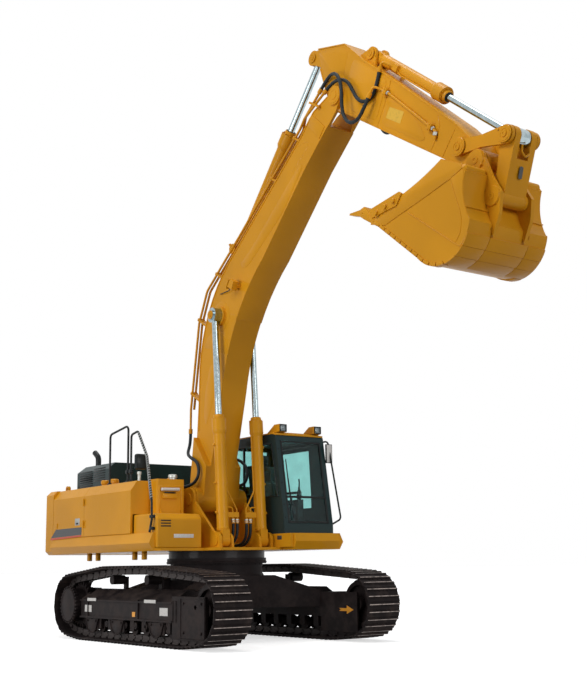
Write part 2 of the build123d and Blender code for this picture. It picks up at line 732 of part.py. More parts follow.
with BuildPart() as engine_hood:
    z_low = hood_bottom
    outer = [
        (hood_rear_x, z_low), (hood_rear_x, hood_top - hood_bevel), (hood_rear_x + hood_bevel, hood_top),
        (hood_front_x, hood_top), (hood_front_x, z_low),
    ]
    side_prism(machine, outer, hood_right_y, hood_left_y)
    section = [
        (hood_right_y, z_low), (hood_left_y, z_low), (hood_left_y, hood_top - hood_bevel),
        (hood_left_y - hood_bevel, hood_top), (hood_right_y + hood_bevel, hood_top),
        (hood_right_y, hood_top - hood_bevel),
    ]
    front_prism(section, hood_rear_x, hood_front_x, Mode.INTERSECT)
    slab(
        hood_rear_x + hood_sheet, hood_front_x - hood_sheet, hood_right_y + hood_sheet, hood_left_y - hood_sheet,
        z_low - 1, hood_top - hood_bevel - 10, Mode.SUBTRACT,
    )
    for i in range(7):
        z = z_low + 60 + i * 34
        slab(hood_rear_x + 120, hood_rear_x + 620, hood_right_y - 5, hood_right_y + hood_sheet + 5, z, z + 14, Mode.SUBTRACT)
    # knuckles of its hinges, bored for the pins of the top cover
    for y in hood_hinges:
        disc(machine, hinge_spot, knuckle_radius, y - knuckle_half, y + knuckle_half)
        disc(machine, hinge_spot, hinge_pin + gap, y - knuckle_half - 1, y + knuckle_half + 1, Mode.SUBTRACT)
write(engine_hood.part, "engine_hood")

with BuildPart() as exhaust_pipe:
    tube([(-2620, -760, hood_top), (-2620, -760, 2990), (-2760, -760, 3080)], 48, 110)
write(exhaust_pipe.part, "exhaust_pipe")

rail_y = -1290
rail_foot_y = -1445     # where the sloping rail comes down outside the tool box
with BuildPart() as handrails:
    tube(
        [(-1140, rail_y, cover_top), (-1140, rail_y, 3200), (-530, rail_y, 3285), (-530, rail_y, cover_top)], 17, 70,
    )
    tube(
        [(-430, rail_y, cover_top), (-430, rail_y, 3130), (-215, rail_y, 3165), (80, rail_y, 2750),
         (510, rail_foot_y, 2060), (520, rail_foot_y, 1790), (455, rail_foot_y, 1606)], 17, 60,
    )
write(handrails.part, "handrails")

# ---------------------------------------------------------------- cab
cab_outline = [
    (cab_rear_x, cab_floor), (cab_front_x, cab_floor), (cab_front_x, cab_floor + 130),
    (cab_brow_x, cab_roof - 40), (cab_brow_x - 60, cab_roof), (cab_rear_x + 60, cab_roof), (cab_rear_x, cab_roof - 50),
]
cab_inside = [
    (cab_rear_x + cab_wall, cab_floor + cab_wall), (cab_front_x - cab_wall, cab_floor + cab_wall),
    (cab_front_x - cab_wall, cab_floor + 130), (cab_brow_x - cab_wall, cab_roof - 90),
    (cab_rear_x + cab_wall, cab_roof - 90),
]
screen_low = cab_floor + 150
screen_high = cab_roof - 110
door_outline = [
    (door_rear_x, cab_floor + 90), (door_front_x + 60, cab_floor + 90), (door_front_x + 60, 2200),
    (door_front_x, door_top), (door_rear_x, door_top),
]
door_window = [
    (door_rear_x + 70, cab_floor + 420), (door_front_x - 20, cab_floor + 420), (door_front_x - 20, 2200),
    (door_front_x - 70, door_top - 70), (door_rear_x + 70, door_top - 70),
]
right_window = [
    (cab_rear_x + 110, cab_floor + 560), (cab_front_x - 120, cab_floor + 560), (cab_brow_x - 110, cab_roof - 150),
    (cab_rear_x + 110, cab_roof - 150),
]


def screen_x(z):
    """The outer face of the raked windscreen at a height."""
    share = (z - cab_floor - 130) / (cab_roof - 40 - cab_floor - 130)
    return cab_front_x + (cab_brow_x - cab_front_x) * share


def screen_slab(depth_low, depth_high, y_low, y_high, z_low, z_high, mode=Mode.ADD):
    """A slab parallel to the windscreen, between two depths behind its face."""
    points = [
        (screen_x(z_low) - depth_high, z_low), (screen_x(z_low) - depth_low, z_low),
        (screen_x(z_high) - depth_low, z_high), (screen_x(z_high) - depth_high, z_high),
    ]
    side_prism(machine, points, y_low, y_high, mode)


with BuildPart() as cab_shell:
    side_prism(machine, cab_outline, cab_right_y, cab_left_y)
    side_prism(machine, cab_inside, cab_right_y + cab_wall, cab_left_y - cab_wall, Mode.SUBTRACT)
    screen_slab(-20, cab_wall + 20, cab_right_y + 90, cab_left_y - 90, screen_low, screen_high, Mode.SUBTRACT)
    side_prism(machine, right_window, cab_right_y - 5, cab_right_y + cab_wall + 5, Mode.SUBTRACT)
    side_prism(machine, door_outline, cab_left_y - cab_wall - 5, cab_left_y + 5, Mode.SUBTRACT)
    slab(cab_rear_x - 5, cab_rear_x + cab_wall + 5, cab_right_y + 110, cab_left_y - 110, 2250, cab_roof - 150, Mode.SUBTRACT)
    hinge_fixed(door_rear_x, cab_left_y, 1, -1, cab_door_hinges)
write(cab_shell.part, "cab_shell")

with BuildPart() as cab_glass:
    screen_slab(8, 8 + pane, cab_right_y + 90, cab_left_y - 90, screen_low, screen_high)
    side_prism(machine, right_window, cab_right_y + 12, cab_right_y + 12 + pane)
    slab(cab_rear_x + 12, cab_rear_x + 12 + pane, cab_right_y + 110, cab_left_y - 110, 2250, cab_roof - 150)
write(cab_glass.part, "cab_glass")

with BuildPart() as cab_door:
    with BuildSketch(machine) as leaf:
        Polygon(*door_outline, align=None)
        offset(amount=-4, mode=Mode.REPLACE)
        Polygon(*door_window, align=None, mode=Mode.SUBTRACT)
    with_width(leaf.sketch, cab_left_y - cab_wall + 6, cab_left_y)
    slab(door_front_x, door_front_x + 30, cab_left_y, cab_left_y + 18, 2020, 2160)
    hinge_moving(door_rear_x, cab_left_y, 1, 1, cab_door_hinges)
write(cab_door.part, "cab_door")

with BuildPart() as door_glass:
    side_prism(machine, door_window, cab_left_y - 30, cab_left_y - 30 + pane)
write(door_glass.part, "door_glass")

with BuildPart() as seat:
    slab(-60, 420, 720, 1200, cab_floor + cab_wall, cab_floor + 330)
    slab(-60, 440, 700, 1220, cab_floor + 330, cab_floor + 450)
    side_prism(machine, [(-60, cab_floor + 450), (60, cab_floor + 450), (-60, 2700), (-180, 2700)], 710, 1210)
write(seat.part, "seat")

with BuildPart() as controls:
    for y in (620, 1300):
        slab(60, 480, y - 45, y + 45, cab_floor + cab_wall, cab_floor + 560)
        disc(machine, (430, cab_floor + 600), 40, y - 20, y + 20)
        slab(418, 442, y - 12, y + 12, cab_floor + 560, cab_floor + 760)
    for y in (890, 1030):
        slab(760, 784, y - 12, y + 12, cab_floor + cab_wall, cab_floor + 560)
write(controls.part, "controls")

with BuildPart() as cab_lamps:
    slab(cab_brow_x - 230, cab_brow_x - 60, cab_right_y + 40, cab_left_y - 40, cab_roof, cab_roof + 22)
    for y in (cab_right_y + 130, cab_left_y - 130):
        side_prism(
            machine,
            [(cab_brow_x - 330, cab_roof), (cab_brow_x + 30, cab_roof + 22), (cab_brow_x + 30, cab_roof + 140),
             (cab_brow_x - 100, cab_roof + 140)],
            y - 75, y + 75,
        )
write(cab_lamps.part, "cab_lamps")

with BuildPart() as mirror_rail:
    tube(
        [(cab_brow_x - 60, cab_left_y + 18, 3030), (cab_brow_x + 40, cab_left_y + 65, 3050),
         (cab_front_x + 120, cab_left_y + 65, 1800), (cab_front_x - 60, cab_left_y + 18, 1720)], 14, 60,
    )
    for x, z in ((cab_brow_x - 60, 3030), (cab_front_x - 60, 1720)):
        slab(x - 25, x + 25, cab_left_y, cab_left_y + 20, z - 25, z + 25)
    slab(cab_brow_x + 70, cab_brow_x + 95, cab_left_y - 10, cab_left_y + 110, 2690, 2990)
write(mirror_rail.part, "mirror_rail")


# ---------------------------------------------------------------- cylinders
def cylinder(sizes, foot, eye, y=0):
    """Barrel and rod of a hydraulic cylinder between two pins, in a side plane."""
    plane = side_plane(foot, angle_between(foot, eye), y)
    length = distance(foot, eye)
    start = Plane(origin=plane.origin, z_dir=plane.x_dir, x_dir=(0, 1, 0))
    foot_half = sizes["foot_half"]
    tail = barrel_start + 40
    with BuildPart() as barrel:
        with BuildSketch(start.offset(barrel_start)) as wall:
            Circle(sizes["outer"])
        extrude(wall.sketch, amount=sizes["length"] - barrel_start)
        neck_half = sizes["foot"] - 4
        with BuildSketch(plane) as neck:
            with Locations(((barrel_start + 10) / 2, 0)):
                Rectangle(barrel_start + 10, 2 * neck_half)
        extrude(neck.sketch, amount=foot_half - 4, both=True)
        with BuildSketch(start.offset(sizes["length"] - 190)) as gland:
            Circle(sizes["gland"])
        extrude(gland.sketch, amount=190)
        with BuildSketch(start.offset(tail)) as bore:
            Circle(sizes["bore"])
        extrude(bore.sketch, amount=sizes["length"] - tail - 60, mode=Mode.SUBTRACT)
        with BuildSketch(start.offset(sizes["length"] - 70)) as mouth:
            Circle(sizes["rod"] + gap)
        extrude(mouth.sketch, amount=80, mode=Mode.SUBTRACT)
        disc(side_plane(foot), (0, 0), sizes["foot"], y - foot_half, y + foot_half)
        disc(side_plane(foot), (0, 0), cylinder_pin / 2 + gap, y - foot_half - 1, y + foot_half + 1, Mode.SUBTRACT)
    with BuildPart() as rod:
        with BuildSketch(start.offset(length - sizes["rod_length"])) as shaft:
            Circle(sizes["rod"])
        extrude(shaft.sketch, amount=sizes["rod_length"] - sizes["eye"] / 2)
        with BuildSketch(start.offset(length - sizes["rod_length"])) as piston:
            Circle(sizes["bore"] - gap)
        extrude(piston.sketch, amount=60)
        disc(side_plane(eye), (0, 0), sizes["eye"], y - sizes["eye_half"], y + sizes["eye_half"])
    return barrel, rod


boom_barrel_piece, boom_rod_piece = cylinder(
    boom_barrel, boom_cylinder_foot, boom_rod_eye, -cylinder_y,
)
barrel_angle = angle_between(boom_cylinder_foot, boom_rod_eye)


def barrel_point(along, across):
    """A point on the axis of a boom cylinder's barrel, moved across the machine."""
    place = turned(boom_cylinder_foot, (along, 0), barrel_angle)
    return (place[0], across, place[1])


pipe_low = barrel_start + 180           # lower ends of the pipes, from the foot pin
hose_top = pipe_low - ferrule
with boom_barrel_piece:
    beside = -cylinder_y + boom_barrel["outer"] + barrel_pipe + 0.5
    inner_port, outer_port = port_spots
    high = boom_barrel["length"]
    # long pipe to the gland, and short one to the foot of the barrel
    tube(
        [barrel_point(high - 90, beside), barrel_point(high - 1100, beside),
         barrel_point(pipe_low + 140, -inner_port), barrel_point(pipe_low, -inner_port)], barrel_pipe, 60,
    )
    tube(
        [barrel_point(pipe_low + 170, beside - 25), barrel_point(pipe_low + 170, -outer_port),
         barrel_point(pipe_low, -outer_port)], barrel_pipe, 50,
    )
    for spot in port_spots:
        round_bar(barrel_point(pipe_low, -spot), barrel_point(hose_top, -spot), thin_hose + ferrule_wall)
    with BuildSketch(side_plane(boom_cylinder_foot, barrel_angle)) as holder:
        with Locations((pipe_low + 55, -barrel_pipe - 5)):
            Rectangle(80, 12)
    with_width(holder.sketch, beside - 20, -inner_port + 25)
    # straps that hold the long pipe
    for along in (pipe_low + 75, high - 1000, high - 420):
        start = Plane(origin=Vector(slew_x + boom_cylinder_foot[0], -cylinder_y, boom_cylinder_foot[1]),
                      z_dir=(cos(radians(barrel_angle)), 0, sin(radians(barrel_angle))), x_dir=(0, 1, 0))
        with BuildSketch(start.offset(along)) as strap:
            Circle(boom_barrel["outer"] + 5)
            Circle(boom_barrel["outer"] - 5, mode=Mode.SUBTRACT)
        extrude(strap.sketch, amount=32)
with boom_rod_piece:
    eye_side = -cylinder_y - boom_barrel["eye_half"]
    disc(side_plane(boom_rod_eye), (0, 0), 78, eye_side - 22, eye_side)
write_pair(boom_barrel_piece.part, "boom_cylinder_barrel")
write_pair(boom_rod_piece.part, "boom_cylinder_rod")

arm_barrel_piece, arm_rod_piece = cylinder(arm_barrel, arm_barrel_foot, arm_rod_eye)
write(arm_barrel_piece.part, "arm_cylinder_barrel")
write(arm_rod_piece.part, "arm_cylinder_rod")

bucket_barrel_piece, bucket_rod_piece = cylinder(bucket_barrel, bucket_barrel_foot, link_eye)
bucket_barrel_angle = angle_between(bucket_barrel_foot, link_eye)


def bucket_barrel_point(along, up, across):
    place = turned(bucket_barrel_foot, (along, up), bucket_barrel_angle)
    return (place[0], across, place[1])


port_along = 560        # port of the bucket cylinder, from its foot pin
port_side = 212         # and how far out its elbow stands
port_seat = 8           # and how deep its block sits in the barrel's wall
with bucket_barrel_piece:
    barrel_plane = side_plane(bucket_barrel_foot, bucket_barrel_angle)
    for side in (-1, 1):
        low, high = sorted((side * (bucket_barrel["outer"] - port_seat), side * (bucket_barrel["outer"] + 42)))
        side_prism(
            barrel_plane, [(port_along - 20, -35), (port_along + 95, -45), (port_along + 95, 45), (port_along - 20, 45)],
            low, high,
        )
        low_y = -60
        side_y_here = side * (bucket_barrel["outer"] - 8)
        tube(
            [bucket_barrel_point(port_along + 60, -25, side * (bucket_barrel["outer"] + 8)),
             bucket_barrel_point(port_along + 160, low_y, side_y_here),
             bucket_barrel_point(bucket_barrel["length"] - 160, low_y, side_y_here)], barrel_pipe + 1, 60,
        )
        # elbow that takes the hose
        bend = arm_point(735, 660, side * port_side)
        elbow_end = arm_point(750, 592, side * port_side)
        tube([bucket_barrel_point(port_along, 5, side * (bucket_barrel["outer"] + 20)), bend, elbow_end], arm_pipe, 36)
        round_bar(elbow_end, beyond(bend, elbow_end, ferrule), hose_radius + ferrule_wall)
write(bucket_barrel_piece.part, "bucket_cylinder_barrel")
write(bucket_rod_piece.part, "bucket_cylinder_rod")

# ---------------------------------------------------------------- boom
foot_boss_half = web_y - play
with BuildPart() as boom:
    end_x = boom_length
    crown_x, crown_y = boom_rod_pin
    with BuildSketch(boom_plane) as profile:
        with BuildLine():
            Line((60, -170), (600, 76))
            Line((600, 76), (1711, 432))
            ThreePointArc((1711, 432), (crown_x + 40, crown_y - 445), (3900, 462))
            Line((3900, 462), (end_x - 1080, 135))
            Line((end_x - 1080, 135), (end_x - 210, -125))
            Line((end_x - 210, -125), (end_x, -135))
            ThreePointArc((end_x, -135), (end_x + 135, 0), (end_x, 135))
            Line((end_x, 135), (end_x - 330, 392))
            Line((end_x - 330, 392), (end_x - 735, 502))
            Line((end_x - 735, 502), (3700, 1262))
            ThreePointArc((3700, 1262), (crown_x - 130, crown_y + 365), (1528, 1100))
            Line((1528, 1100), (0, 290))
            Line((0, 290), (-140, 140))
            Line((-140, 140), (60, -170))
        make_face()
    with_width(profile.sketch, -boom_half, boom_half)
    # the foot widens to its pin boss
    with BuildSketch(boom_plane) as flare:
        Polygon((-120, 150), (60, -170), (560, 60), (760, 640), (0, 290), align=None)
    with_width(flare.sketch, -boom_half - 90, boom_half + 90)
    disc(boom_plane, (0, 0), 190, -foot_boss_half, foot_boss_half)
    # bosses of the boom cylinder rods
    disc(boom_plane, boom_rod_pin, 150, -cylinder_y + 66, cylinder_y - 66)
    # fork for the arm
    with BuildSketch(boom_plane) as slot:
        Polygon(
            (end_x - boom_fork_depth, -400), (end_x + 300, -400), (end_x + 300, 700),
            (end_x - boom_fork_depth, 700), align=None,
        )
    with_width(slot.sketch, -boom_fork_inner, boom_fork_inner, Mode.SUBTRACT)
    for side in (-1, 1):
        low, high = sorted((side * boom_half, side * (boom_half + 28)))
        disc(boom_plane, (end_x, 0), 135, low, high)
    # ears for the arm cylinder
    fx, fy = arm_cylinder_foot
    for side in (-1, 1):
        low, high = sorted((side * (80 + play), side * (80 + play + 36)))
        with BuildSketch(boom_plane) as ear:
            Polygon((fx - 300, fy - 130), (fx - 60, fy + 90), (fx + 80, fy + 60), (fx + 215, fy - 290), (fx, fy - 400), align=None)
        with_width(ear.sketch, low, high)
        disc(boom_plane, (fx, fy), 112, low, high)
    # work lamp on the right side
    lamp_x, lamp_y = work_lamp
    side_prism(
        boom_plane, [(lamp_x - 20, lamp_y - 70), (lamp_x + 20, lamp_y - 70), (lamp_x + 20, lamp_y + 20), (lamp_x - 20, lamp_y + 20)],
        -boom_half - 60, -boom_half,
    )
    side_prism(
        boom_plane, [(lamp_x - 62, lamp_y - 70), (lamp_x + 70, lamp_y - 55), (lamp_x + 70, lamp_y + 55), (lamp_x - 62, lamp_y + 70)],
        -boom_half - 150, -boom_half - 55,
    )
    disc(boom_plane, (fx, fy), cylinder_pin / 2, -80 - play, 80 + play)
    disc(boom_plane, (0, 0), foot_pin / 2 + gap, -foot_boss_half - 5, foot_boss_half + 5, Mode.SUBTRACT)
    disc(boom_plane, (end_x, 0), arm_pin / 2, -boom_half, boom_half)
write(boom.part, "boom")


pipe_run = [(2300, 1700), (2850, 1760), (3500, 1510), (3950, 1330), (boom_length - 650, 640)]
inner_run = [(1010, 1160)] + pipe_run + [(boom_length - 440, 563)]
outer_run = [(674, 953), (1010, 1160)] + pipe_run + [(boom_length - 460, 520)]
inner_end = (boom_length + 12, 400)
outer_end = (boom_length + 32, 215)
inner_spot, outer_spot = pipe_spots


def arm_hose_start(spot):
    """Where the hose over the arm's foot leaves its pipe on the right side, and the way it points."""
    if spot == inner_spot:
        return boom_point(*inner_end, -inner_clear), boom_point(*inner_run[-1], -inner_clear)
    return boom_point(*outer_end, -pipe_clear), boom_point(*outer_run[-1], -pipe_clear)


with BuildPart() as boom_pipes:
    for side in (-1, 1):
        inner = [boom_point(x, y, side * inner_spot) for x, y in inner_run[:-1]]
        inner.append(boom_point(*inner_run[-1], side * inner_clear))
        inner.append(boom_point(*inner_end, side * inner_clear))
        tube(inner, boom_pipe, 160)
        outer = [boom_point(x, y, side * outer_spot) for x, y in outer_run[:-1]]
        outer.append(boom_point(*outer_run[-1], side * pipe_clear))
        outer.append(boom_point(*outer_end, side * pipe_clear))
        tube(outer, boom_pipe, 160)
        for end, before in (inner[-1:-3:-1], outer[-1:-3:-1], outer[:2]):
            round_bar(stepped(end, before, ferrule), end, hose_radius + ferrule_wall)
        y_low, y_high = sorted((side * (boom_half - 40), side * (pipe_clear + boom_pipe + 4)))
        clip_x = boom_length - 230
        side_prism(
            boom_plane, [(clip_x - 15, 250), (clip_x + 15, 250), (clip_x + 15, 512), (clip_x - 15, 512)], y_low, y_high,
        )
    for x, low, high in ((1250, 900, 1260), (2360, 1390, 1720), (3200, 1300, 1625), (5000, 740, 950), (5700, 480, 700)):
        for side in (-1, 1):
            y_low, y_high = sorted((side * (inner_spot - 20), side * (outer_spot + 22)))
            side_prism(boom_plane, [(x - 15, low), (x + 15, low), (x + 15, high), (x - 15, high)], y_low, y_high)
    add(boom.part, mode=Mode.SUBTRACT)
write(boom_pipes.part, "boom_pipes")

# ---------------------------------------------------------------- arm
with BuildPart() as arm:
    end_x = arm_length
    with BuildSketch(arm_plane) as profile:
        with BuildLine():
            Line((-400, 60), (-110, -150))
            Line((-110, -150), (330, -165))
            Line((330, -165), (end_x - 675, -150))
            Line((end_x - 675, -150), (end_x, -140))
            ThreePointArc((end_x, -140), (end_x + 140, 0), (end_x, 140))
            Line((end_x, 140), (end_x - 60, 118))
            Line((end_x - 60, 118), (end_x - 160, 112))
            Line((end_x - 160, 112), (end_x - 295, 200))
            Line((end_x - 295, 200), (end_x - 705, 300))
            Line((end_x - 705, 300), (850, 530))
            Line((850, 530), (300, 590))
            Line((300, 590), (-260, 700))
            Line((-260, 700), (-850, 500))
            Line((-850, 500), (-640, 246))
            Line((-640, 246), (-400, 60))
        make_face()
    with_width(profile.sketch, -arm_half, arm_half)
    disc(arm_plane, (end_x, 0), 140, -arm_boss, arm_boss)
    # ears for the arm cylinder's rod
    dx, dy = arm_rod_pin
    for side in (-1, 1):
        low, high = sorted((side * (80 + play), side * (80 + play + 55)))
        side_prism(arm_plane, [(dx - 60, dy + 80), (dx + 60, dy - 90), (dx + 420, dy - 60), (dx + 260, dy + 210)], low, high)
        disc(arm_plane, arm_rod_pin, 112, low, high)
    # ears for the bucket cylinder
    gx, gy = bucket_cylinder_foot
    for side in (-1, 1):
        low, high = sorted((side * (76 + play), side * (76 + play + 40)))
        side_prism(arm_plane, [(gx - 280, gy - 110), (gx - 80, gy + 60), (gx + 80, gy + 60), (gx + 200, gy - 180), (gx - 100, gy - 200)], low, high)
        disc(arm_plane, bucket_cylinder_foot, 105, low, high)
    disc(arm_plane, bucket_cylinder_foot, cylinder_pin / 2, -76 - play, 76 + play)
    # steel pipe on each side, with the elbow that takes its hose
    for side in (-1, 1):
        outside = side * (arm_half + arm_pipe + 6)
        tube(
            [arm_point(829, 230, side * 288), arm_point(820, 320, side * 276), arm_point(925, 324, outside),
             arm_point(1118, 310, outside), arm_point(end_x - 1130, 142, outside),
             arm_point(end_x - 955, 112, outside), arm_point(end_x - 920, 20, outside)], arm_pipe, 48,
        )
        start = arm_point(829, 230, side * 288)
        round_bar(start, beyond(arm_point(820, 320, side * 276), start, ferrule), hose_radius + ferrule_wall)
        low, high = sorted((side * (arm_half - 20), side * (arm_half + 2 * arm_pipe + 12)))
        for x, y in ((1040, 316), (end_x - 1080, 134)):
            side_prism(arm_plane, [(x - 30, y - 32), (x + 30, y - 32), (x + 30, y + 32), (x - 30, y + 32)], low, high)
    disc(arm_plane, rocker_pin, bucket_pin / 2 + gap, -arm_half - 5, arm_half + 5, Mode.SUBTRACT)
    disc(arm_plane, (0, 0), arm_pin / 2 + gap, -arm_half - 5, arm_half + 5, Mode.SUBTRACT)
    disc(arm_plane, (end_x, 0), bucket_pin / 2 + gap, -arm_boss - 5, arm_boss + 5, Mode.SUBTRACT)
write(arm.part, "arm")

# ---------------------------------------------------------------- hoses
def mirrored(route):
    return [(x, -y, z) for x, y, z in route]


# over the arm's foot, on the right side, in the arm's frame
start, before = arm_hose_start(inner_spot)
bend = arm_point(820, 320, -276)
elbow = arm_point(829, 230, -288)
end = beyond(bend, elbow, ferrule)
way = [
    (-265, 243, -235), (-75, 290, -298), (120, 238, -328), (268, 85, -335), (372, -82, -335), (498, -200, -332),
    (668, -250, -328), (812, -165, -322),
]
lower_route = [start, beyond(before, start, 122)] + [arm_point(*place) for place in way]
lower_route += [beyond(elbow, end, 162), end]

start, before = arm_hose_start(outer_spot)
bend = arm_point(735, 660, -port_side)
elbow = arm_point(750, 592, -port_side)
end = beyond(bend, elbow, ferrule)
way = [
    (10, 238, -251), (215, 250, -254), (395, 155, -250), (565, 70, -240), (715, 88, -225), (818, 205, -214),
]
upper_route = [start, beyond(before, start, 130)] + [arm_point(*place) for place in way]
upper_route += [beyond(elbow, end, 155), end]
for name, route in (("lower", lower_route), ("upper", upper_route)):
    hose(route, hose_radius, "hose_arm_" + name + "_right")
    hose(mirrored(route), hose_radius, "hose_arm_" + name + "_left")

# from the pipes behind the boom's foot to the bulkhead
low_x, low_z = turned(boom_foot, outer_run[0], boom_angle)
right_way = [
    (-400, -300, low_z - 338), (-200, -358, low_z - 420), (20, -367, low_z - 500), (92, -372, low_z - 680),
    (-10, -392, low_z - 830), (-195, -425, low_z - 876),
]
left_way = [
    (-402, 312, low_z - 340), (-195, 368, low_z - 398), (100, 372, low_z - 448), (285, 376, low_z - 565),
    (312, 382, low_z - 708), (215, 393, low_z - 828), (60, 410, low_z - 854), (-150, 440, low_z - 862),
]
for side, way in (("right", right_way), ("left", left_way)):
    mark = 1 if side == "left" else -1
    start = boom_point(*outer_run[0], mark * outer_spot)
    first = beyond(boom_point(*outer_run[1], mark * outer_spot), start, 165)
    wall_y = mark * union_y
    route = [start, first] + way + [(union_x + 212, wall_y, union_z), (union_x, wall_y, union_z)]
    hose(route, hose_radius, "hose_foot_" + side)

# from the boom cylinders' pipes down to the block on the deck
level = deck_top + thin_hose + 12
for name, spot, reach in (("inner", port_spots[0], 0), ("outer", port_spots[1], 12)):
    top = barrel_point(hose_top, -spot)
    first = beyond(barrel_point(pipe_low, -spot), top, 130)
    route = [
        top, first, (first[0] - 56 - reach, -spot - 4, level + 80), (port_block[1] + 138, -spot, level),
        (port_block[1], -spot, level),
    ]
    hose(route, thin_hose, "hose_cylinder_" + name + "_right")
    hose(mirrored(route), thin_hose, "hose_cylinder_" + name + "_left")

# ---------------------------------------------------------------- bucket linkage
rocker_turn = angle_between(rocker_foot, link_eye)
rocker_length = distance(rocker_foot, link_eye)
rocker_plane = side_plane(rocker_foot, rocker_turn)
with BuildPart() as rocker:
    for side in (-1, 1):
        low, high = sorted((side * rocker_inner, side * (rocker_inner + rocker_plate)))
        side_prism(
            rocker_plane,
            [(0, -95), (rocker_length * 0.5, -75), (rocker_length, -115), (rocker_length, 115),
             (rocker_length * 0.5, 75), (0, 95)],
            low, high,
        )
        disc(rocker_plane, (0, 0), 95, low, high)
        disc(rocker_plane, (rocker_length, 0), 115, low, high)
        cap_low, cap_high = sorted((side * (rocker_inner + rocker_plate), side * (rocker_inner + rocker_plate + 16)))
        disc(rocker_plane, (0, 0), 62, cap_low, cap_high)
        disc(rocker_plane, (rocker_length, 0), 70, cap_low, cap_high)
    disc(rocker_plane, (0, 0), bucket_pin / 2, -rocker_inner, rocker_inner)
write(rocker.part, "rocker")

link_turn = angle_between(link_eye, link_foot)
link_length = distance(link_eye, link_foot)
link_plane = side_plane(link_eye, link_turn)
with BuildPart() as bucket_link:
    side_prism(
        link_plane,
        [(0, -120), (link_length * 0.6, -95), (link_length, -80), (link_length, 80), (link_length * 0.6, 95), (0, 120)],
        -link_half, link_half,
    )
    disc(link_plane, (0, 0), 120, -link_half, link_half)
    inner = link_half - link_plate
    side_prism(link_plane, [(-130, -130), (260, -130), (260, 130), (-130, 130)], -inner, inner, Mode.SUBTRACT)
    disc(link_plane, (link_length, 0), 95, -arm_boss, arm_boss)
    disc(link_plane, (link_length, 0), bucket_pin / 2 + gap, -arm_boss - 5, arm_boss + 5, Mode.SUBTRACT)
write(bucket_link.part, "bucket_link")

# ---------------------------------------------------------------- bucket
# in the bucket's frame x runs from its pin to the tooth tips and y to its belly
with BuildPart() as bucket:
    lip_x = bucket_reach - 330
    with BuildSketch(bucket_plane) as outer:
        with BuildLine():
            Line((200, -30), (-85, 145))
            Line((-85, 145), (-150, 270))
            ThreePointArc((-150, 270), (-78, 520), (-125, 860))
            ThreePointArc((-125, 860), (210, 1203), (764, 1014))
            Line((764, 1014), (lip_x, 160))
            Line((lip_x, 160), (1500, 150))
            ThreePointArc((1500, 150), (700, 100), (200, -30))
        make_face()
    with_width(outer.sketch, -bucket_half, bucket_half)
    with BuildSketch(bucket_plane) as inner:
        with BuildLine():
            Line((1700, -200), (-200, -200))
            Line((-200, -200), (-200, 60))
            Line((-200, 60), (-85, 150))
            Line((-85, 150), (40, 215))
            Line((40, 215), (-20, 330))
            Line((-20, 330), (-46, 430))
            ThreePointArc((-46, 430), (-52, 640), (-92, 845))
            ThreePointArc((-92, 845), (215, 1170), (742, 982))
            Line((742, 982), (lip_x - 22, 140))
            Line((lip_x - 22, 140), (1700, -200))
        make_face()
    with_width(inner.sketch, -bucket_half + bucket_wall, bucket_half - bucket_wall, Mode.SUBTRACT)
    # cutting edge and teeth
    edge = [(lip_x - 190, 310), (lip_x + 60, 80), (lip_x + 40, 40), (lip_x - 230, 270)]
    side_prism(bucket_plane, edge, -bucket_half, bucket_half)
    tooth = [(lip_x - 60, 175), (lip_x + 60, 130), (bucket_reach, 10), (bucket_reach - 10, -10), (lip_x + 40, 30), (lip_x - 90, 130)]
    for i in range(5):
        y = (i - 2) * (bucket_half - 65) / 2
        side_prism(bucket_plane, tooth, y - 55, y + 55)
    # side cutters
    for side in (-1, 1):
        low, high = sorted((side * (bucket_half - 5), side * (bucket_half + 26)))
        side_prism(
            bucket_plane, [(lip_x - 97, 109), (lip_x - 673, 90), (lip_x - 709, 125), (lip_x - 596, 243), (lip_x - 134, 233)],
            low, high,
        )
    # ears with the bucket pin
    ears_sketch = [
        (-120, -60), (120, -80), (220, 40), (60, 230), (-60, 560), (-105, 1000), (-250, 770), (-316, 520), (-215, 290),
    ]
    for side in (-1, 1):
        low, high = sorted((side * ear_inner, side * (ear_inner + ear_plate)))
        side_prism(bucket_plane, ears_sketch, low, high)
        disc(bucket_plane, (0, 0), 140, low, high)
        disc(side_plane(link_foot), (0, 0), 130, low, high)
    disc(bucket_plane, (0, 0), bucket_pin / 2, -ear_inner, ear_inner)
    disc(side_plane(link_foot), (0, 0), bucket_pin / 2, -ear_inner, ear_inner)
write(bucket.part, "bucket")
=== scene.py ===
"""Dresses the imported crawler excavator: finishes, fittings, hoses, tracks and the studio around it.

Lengths are in metres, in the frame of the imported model: X forward, Y to the machine's left, Z up.
"""

